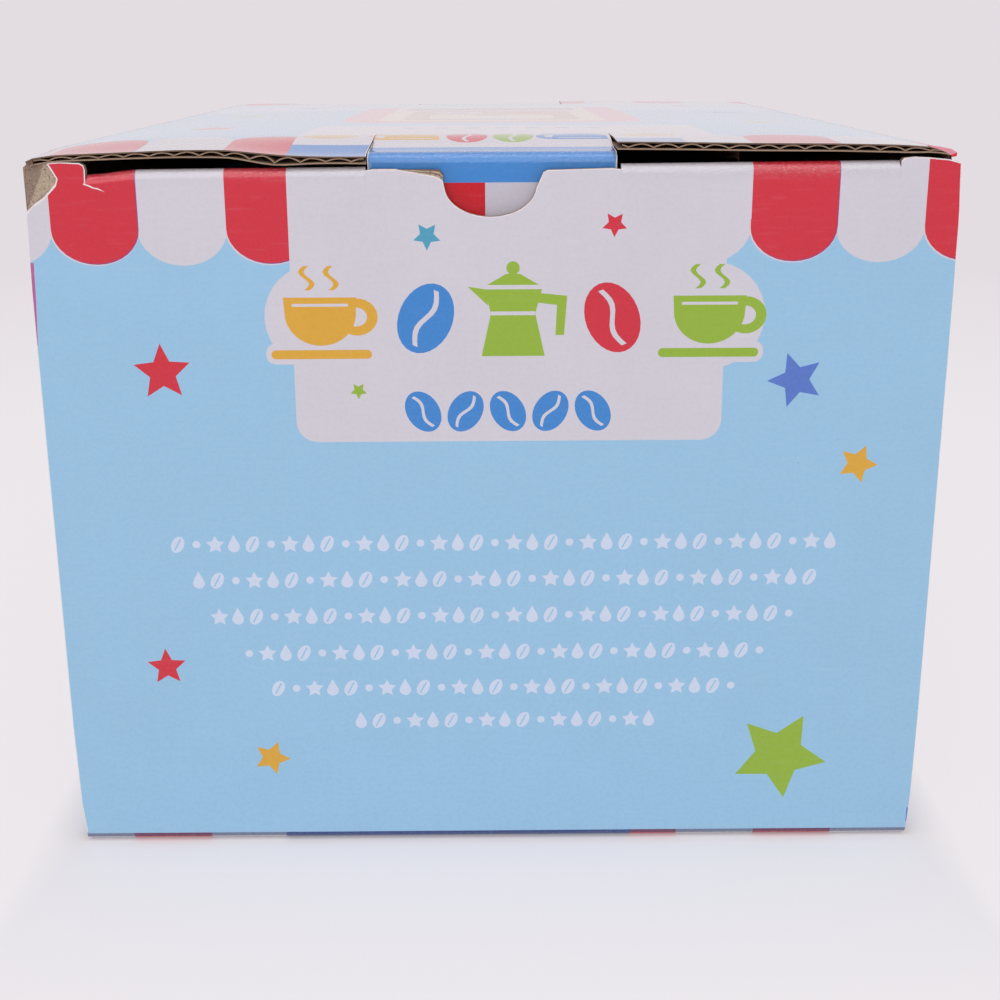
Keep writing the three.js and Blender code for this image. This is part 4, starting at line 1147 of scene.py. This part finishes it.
def build_end_panel(name, y_sign, art):
    surf = turned(lambda u, v: xyz(u, panel_bow(u, v) - END, v), y_sign)
    panel = Board(name + "_end_panel_board", end_outline(name), surf, art, grid=7.0, rim=end_rim,
                  lines=[hline(-118.5, 118.5, v, 6) for v in (4.5, 7)],
                  crease=lambda u, v: 0.2 * smoothstep((7 - v) / 4))
    panel.build(name + "_end_panel", name + "_end")


def build_tuck_flap(name, y_sign, art, side):
    """One lobe of the tuck flap, from the seam below the crease to its round end."""
    word = "left" if side * y_sign > 0 else "right"
    end = SEAM_Z + LOBE_LENGTH
    outer, inner, r = LOBE_OUTER, LOBE_INNER, 9.0
    outline = [(inner, SEAM_Z), (outer, SEAM_Z), (outer, 197.5), (outer - 1.5, 200)]
    outline += arc(outer - 1.5 - r, end - r, r, r, 0, 90, 6) + arc(inner + 1.5 + r, end - r, r, r, 90, 180, 6)
    outline = [(side * u, v) for u, v in outline + [(inner + 1.0, 199), (inner + 0.4, 195.5), (inner, 193)]]
    low, high = min(p[0] for p in outline), max(p[0] for p in outline)
    flap = Board(name + "_tuck_flap_board_" + word, outline, turned(tuck_surf, y_sign), art, "white",
                 grid=6.0,
                 lines=[hline(low + 0.2, high - 0.2, v, 4) for v in np.arange(SEAM_Z + 0.6, 200, 0.55)],
                 crease=lambda u, v: np.exp(-((v - 190.8) / 1.7) ** 2))
    piece = flap.build(name + "_tuck_flap_" + word)
    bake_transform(piece)


def build_bottom_crease(name, y_sign):
    """The crease where the end panel hinges on the back panel. The stripes of the back panel end on it,
    with a band of painted shade along their top.
    """
    quarter = BOTTOM_R * math.pi / 2
    print_end = BOTTOM_R * math.radians(80)
    line = 1.5

    def surf(u, v):
        turn = np.clip(v / BOTTOM_R, 0, math.pi / 2)
        over = np.maximum(v - quarter, 0)
        bow = panel_bow(u, BOTTOM_R + over) * smoothstep(turn / (math.pi / 2))
        y = np.where(v < 0, -END + BOTTOM_R - v, -END + BOTTOM_R - BOTTOM_R * np.sin(turn) + bow)
        return xyz(u, y, np.where(v < 0, 0.0, BOTTOM_R - BOTTOM_R * np.cos(turn) + over))

    art = []
    for k in range(-2, 12):
        u0 = STRIPE_0 + BACK_SHIFT + STRIPE * k
        ink, painted_shade_ink = ("white", "dusk") if k % 2 else ("red", "stripe_red_painted_shade")
        art.append((ink, rect(u0, u0 + STRIPE, -2, print_end)))
        # The band of darker ink along the top of each stripe is painted shade.
        art.append((painted_shade_ink, rect(u0, u0 + STRIPE, print_end - line, print_end)))
    art += [("navy", rect(*NAVY, -2, print_end)), ("sky", rect(-125, 125, print_end, 10))]
    lines = [hline(-118.4, 118.4, v, 8) for v in np.linspace(0.4, quarter - 0.4, 9)]
    fold = Board(name + "_bottom_crease", rect(-CREASE_HALF, 119.0, 0.0, quarter), turned(surf, y_sign), art,
                 lines=lines, grid=10.0, thick=1.9, waves=False, closed="kraft", crease=constant(0.2))
    piece = fold.build()
    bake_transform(piece)


def build_dust_flap(name, y_sign, side):
    """u runs from the side wall over the crease to the flap's tip."""
    quarter = DUST_R * math.pi / 2
    tip = SIDE - DUST_R - box_mm("front_dust_flap_right")[0][0] + quarter

    def surf(u, v):
        turn = np.clip(u / DUST_R, 0, math.pi / 2)
        x = SIDE - WALL - DUST_R + DUST_R * np.cos(turn) - np.maximum(u - quarter, 0)
        return xyz(side * x, y_sign * (DUST - DUST_R + DUST_R * np.sin(turn)), v)

    word = "left" if side < 0 else "right"
    outline = [(0, 3.6), (tip, 3.6), (tip, 152), (tip - 2, 155), (tip - 22, 168.5), (tip - 26, 169.7),
               (6, 169.7), (3, 168), (0, 164)]
    art = awning(-10, 130, 172, 160, 152, shift=3) + moved(cup_motif("white", gap="sky"), 55, 84, 1.8)
    flap = Board(name + "_dust_flap_board_" + word, outline, surf, art, grid=11.0, side=side * y_sign,
                 lines=[vline(u, 4, 163, 10) for u in np.linspace(0.6, 5.4, 9)], wave_range=(7, 999),
                 crease=lambda u, v: smoothstep((7 - u) / 3))
    piece = flap.build(name + "_dust_flap_" + word)
    if name == "rear":
        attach(piece, "carton")
    else:
        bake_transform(piece)


def build_end(name, y_sign):
    art = end_art(name)
    build_end_panel(name, y_sign, art)
    build_bottom_crease(name, y_sign)
    for side in (-1, 1):
        build_tuck_flap(name, y_sign, art, side)
        build_dust_flap(name, y_sign, side)


# The worn places of the front end, with painted shade on some faces, and the rolled lid corner's painted sheen
FACE = -END + 0.35


def slab(name, faces, depth, inks, body):
    """A thin closed piece from flat front faces, each an ink and its corners, with its back at y=depth."""
    bm = bmesh.new()
    for ink, corners in faces:
        face = bm.faces.new([bm.verts.new(Vector(c) * MM) for c in corners])
        face.material_index = ink
    bmesh.ops.remove_doubles(bm, verts=bm.verts, dist=1e-6)
    bmesh.ops.subdivide_edges(bm, edges=bm.edges, cuts=2, use_grid_fill=True)
    made = bmesh.ops.extrude_face_region(bm, geom=bm.faces[:])
    for v in made["geom"]:
        if isinstance(v, bmesh.types.BMVert):
            v.co.y = depth * MM
    bmesh.ops.recalc_face_normals(bm, faces=bm.faces)
    mesh = bpy.data.meshes.new(name)
    bm.to_mesh(mesh)
    for ink in inks:
        mesh.materials.append(MATERIALS[ink])
    finish_piece(name, mesh, body=body)


def build_peeled_corner():
    rim = [(u, FACE + 0.25, v) for u, v in TEAR]
    top, foot = ((u, FACE - 0.2, v) for u, v in FOLD)
    edge = [(-119.8, FACE + 1.5, 181.0), (-119.8, FACE + 1.5, 191.6), (-118.6, FACE + 1.2, 192.6)]
    # The facet past the fold line takes the darker kraft, as painted shade.
    faces = [(0, [foot] + rim[::-1] + [top]), (1, [foot, top] + edge[::-1])]
    slab("front_peeled_corner", faces, -END + 2.4, ("torn", "torn_shade"), "front_end")


def build_raised_cut():
    """The cut edge by the thumb notch, in four layers from its foot to its top: torn paper, and dark brown
    bands that paint the shade in the gaps between the liners.
    """
    tops = (189.6, 190.65, 190.7, 190.72, 190.75)
    rows = [[(u, FACE + 0.15 + 0.3 * share, v + share * (z - v)) for (u, v), z in zip(RAISED_CUT, tops)]
            for share in (-0.08, 0.3, 0.48, 0.78, 1.0)]
    faces = [(k % 2, corners) for k, (low, high) in enumerate(zip(rows, rows[1:]))
             for corners in zip(low, low[1:], high[1:], high)]
    slab("front_raised_cut", faces, -END + 2.3, ("torn", "brown_edge"), "front_end")


def build_rolled_corner():
    """The lid's right corner, rolled down over its edge: rose above, a painted sheen on the red, then red."""
    over = [(110.5, 196.25), (113.6, 195.85), (116.3, 195.3), (117.9, 194.4), (117.8, 193.5)]
    under = [(110.5, 196.0), (112.8, 195.35), (115.0, 194.5), (116.2, 193.8), (116.8, 193.3)]
    faces = [(k // 3, [(u, 0.01 - END, z) for u, z in corners])
             for k, corners in enumerate(zip(under, under[1:], over[1:], over))]
    slab("lid_rolled_corner", faces, -END + 1.6, ("rose", "red"), "carton")


# Plain boards inside the carton, the glue flap and the leaflet
def plain_board(node, slot="kraft", base="kraft", outline=None, **more):
    """A flat board in place of a CAD board, in the plane of its two longest sides."""
    low, high = box_mm(node)
    size = [b - a for a, b in zip(low, high)]
    thin = size.index(min(size))
    u_axis, v_axis = [k for k in range(3) if k != thin]

    def surf(u, v):
        place = [None] * 3
        place[thin] = 0.0 * u + high[thin]
        place[u_axis], place[v_axis] = u, v
        return xyz(*place)

    outline = outline or rect(low[u_axis], high[u_axis], low[v_axis], high[v_axis])
    board = Board(node + "_board", outline, surf, base=base, grid=24.0, coarse=30.0, thick=min(size),
                  side=-1 if thin == 1 else 1, **more)
    board.build(node, NODES[node]["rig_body"])


def toy_stop_outline():
    """The board in front of the toy, with its open slot, from the CAD board's corners."""
    corners = {tuple(round(c / MM, 1) for c in v.co) for v in NODES["insert_toy_stop"].data.vertices}
    left, cut_left, cut_right, right = sorted({c[0] for c in corners})
    bottom, sill, top = sorted({c[2] for c in corners})
    return [(left, bottom), (right, bottom), (right, top), (cut_right, top), (cut_right, sill),
            (cut_left, sill), (cut_left, top), (left, top)]


def build_inner_boards():
    for node in ("insert_floor", "insert_divider", "insert_cross_wall_1", "insert_cross_wall_2",
                 "insert_cross_wall_3", "glue_flap"):
        plain_board(node)
    plain_board("insert_toy_stop", outline=toy_stop_outline())
    art = [("pale", rect(-96, 36, 132, 148)), ("red", star(-30, 140, 5, 90))]
    art += moved(cup_motif("blue"), -62, 100, 1.3) + moved(pot_motif("green"), -4, 100, 1.3)
    for k in range(6):
        art += motif_line(-30, 74 - 10 * k, 50 - 3 * k, k)
    plain_board("leaflet", "paper", "sheet", inner="sheet", art=art, waves=False)


# The wooden toy
EASED_ABOVE = math.radians(32)
SHARP_ABOVE = math.radians(44)
THIN, THIN_BEVEL, BEVEL = 4, 0.25, 0.8


def dress(node, material, bevel):
    """Replaces a hard piece by its CAD solid with its edges eased and its round faces smooth."""
    source = NODES[node]
    bm = bmesh.new()
    bm.from_mesh(source.data)
    bm.transform(source.matrix_world)
    bmesh.ops.remove_doubles(bm, verts=bm.verts, dist=1e-6)
    bmesh.ops.dissolve_limit(bm, angle_limit=math.radians(1), verts=bm.verts, edges=bm.edges)
    edges = [e for e in bm.edges if len(e.link_faces) == 2 and e.calc_face_angle() > EASED_ABOVE]
    bmesh.ops.bevel(bm, geom=edges, offset=bevel * MM, segments=2, profile=0.6, affect="EDGES",
                    clamp_overlap=True)
    for face in bm.faces:
        face.smooth = True
    for edge in bm.edges:
        edge.smooth = edge.calc_face_angle(0) < SHARP_ABOVE
    mesh = bpy.data.meshes.new(node + "_eased")
    bm.to_mesh(mesh)
    mesh.materials.append(material)
    piece = finish_piece(node + "_eased", mesh, node, source["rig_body"])
    weighted = piece.modifiers.new("even_shading", "WEIGHTED_NORMAL")
    weighted.keep_sharp = True
    return piece


def build_toy():
    for node, source in NODES.items():
        if source.hide_render:
            continue
        kind = source.data.materials[0].name.split(".")[0]
        low, high = box_mm(node)
        size = [b - a for a, b in zip(low, high)]
        material = SOLIDS.get(kind) or BEECH[size.index(max(size))]
        piece = dress(node, material, THIN_BEVEL if min(size) < THIN else BEVEL)
        if node == "button_cushion":
            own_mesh(piece)


def build_dial_marks():
    """Five printed dots on the dial's plate, growing with the strength over the dial's turn."""
    reach, first, step = 24, -90, 60
    top = box_mm("dial_plate")[1][2] + 0.03
    x, y, _ = [(a + b) / 2 for a, b in zip(*box_mm("strength_dial"))]
    mesh = bpy.data.meshes.new("dial_strength_dots")
    bm = bmesh.new()
    for k in range(5):
        angle = math.radians(first + step * k)
        place = Vector((x + reach * math.cos(angle), y + reach * math.sin(angle), top)) * MM
        bmesh.ops.create_circle(bm, cap_ends=True, segments=24, radius=(0.9 + 0.4 * k) * MM,
                                matrix=Matrix.Translation(place))
    bm.to_mesh(mesh)
    mesh.materials.append(SOLIDS["red"])
    finish_piece("dial_strength_dots", mesh, body=NODES["dial_plate"]["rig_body"])


ENDS = {"front": -1, "rear": 1}
build_lid()
for name, y_sign in ENDS.items():
    build_tab(name, y_sign)
for side, word in ((-1, "left"), (1, "right")):
    build_side(side, word)
build_back()
for name, y_sign in ENDS.items():
    build_end(name, y_sign)
build_peeled_corner()
build_raised_cut()
build_rolled_corner()
build_inner_boards()
build_toy()
build_dial_marks()

# Floor, backdrop and light
BACKDROP = srgb(227, 221, 225)
FLOOR_NEAR = srgb(239, 234, 238)
AMBIENT = 0.43


def floor_material():
    """The floor shines by itself away from the carton and is lit close to it, where it keeps the shadow."""
    n = Nodes("studio_floor")
    n.set(srgb(238, 235, 238), 0.6, Specular_IOR_Level=0.2)
    place = n.add("ShaderNodeNewGeometry").outputs["Position"]
    distance = n.add("ShaderNodeVectorMath", {0: place}, operation="LENGTH").outputs["Value"]
    # The glow is lighter near the carton and darker further off, towards the backdrop: a painted pool of
    # light.
    color = n.mix(n.ramp(distance, 0.45, 1.1), FLOOR_NEAR, BACKDROP)
    emission = n.add("ShaderNodeEmission", {"Color": color, "Strength": 1.0})
    x, y, _ = n.add("ShaderNodeSeparateXYZ", {0: place}).outputs
    past_side = n.math("SUBTRACT", n.math("ABSOLUTE", x), SIDE * MM)
    past_end = n.math("SUBTRACT", n.math("ABSOLUTE", y), END * MM)
    beside = n.math("MAXIMUM", past_side, past_end)
    # The shadow fades in a few millimetres, and quicker past the sides than before the end panel.
    fade = n.math("ADD", n.ramp(beside, 0, 0.012, 0.1, 0.33), n.ramp(beside, 0.01, 0.09, 0, 0.57))
    fade = n.math("MAXIMUM", fade, n.ramp(past_side, 0, 0.014, 0.25, 0.9))
    share = n.math("ADD", fade, n.ramp(beside, 0.3, 0.8, 0, 0.1))
    n.mix_shader(n.math("MULTIPLY", share, n.seen_directly()), emission, "Material Output")
    return n.owner


def build_floor():
    radius, drop = 12, 0.0002
    mesh = bpy.data.meshes.new("floor")
    mesh.from_pydata([(x, y, -drop) for x, y in disc(0, 0, radius, 64)], [], [list(range(64))])
    mesh.materials.append(floor_material())
    add_object("floor", mesh)


def build_world():
    """Pale ambient light, with the backdrop's colour where the camera sees it."""
    n = Nodes("studio", "worlds")
    bpy.context.scene.world = n.owner
    n.shader.inputs["Color"].default_value = (0.98, 0.97, 1.0, 1)
    n.shader.inputs["Strength"].default_value = AMBIENT
    backdrop = n.add("ShaderNodeBackground", {"Color": BACKDROP})
    n.mix_shader(n.seen_directly(), backdrop, "World Output")


def softbox(name, position, target, size, power):
    data = bpy.data.lights.new(name, "AREA")
    data.shape = "RECTANGLE"
    data.size, data.size_y = size
    data.energy = power
    light = add_object(name, data)
    light.location = position
    light.rotation_euler = (Vector(target) - Vector(position)).to_track_quat("-Z", "Y").to_euler()


build_floor()
build_world()
softbox("softbox_above", (0.0, -0.55, 1.5), (0, 0, 0.1), (1.2, 0.9), 8.8)
softbox("softbox_front", (-0.2, -1.65, 0.85), (0, 0, 0.08), (1.8, 1.2), 9.0)
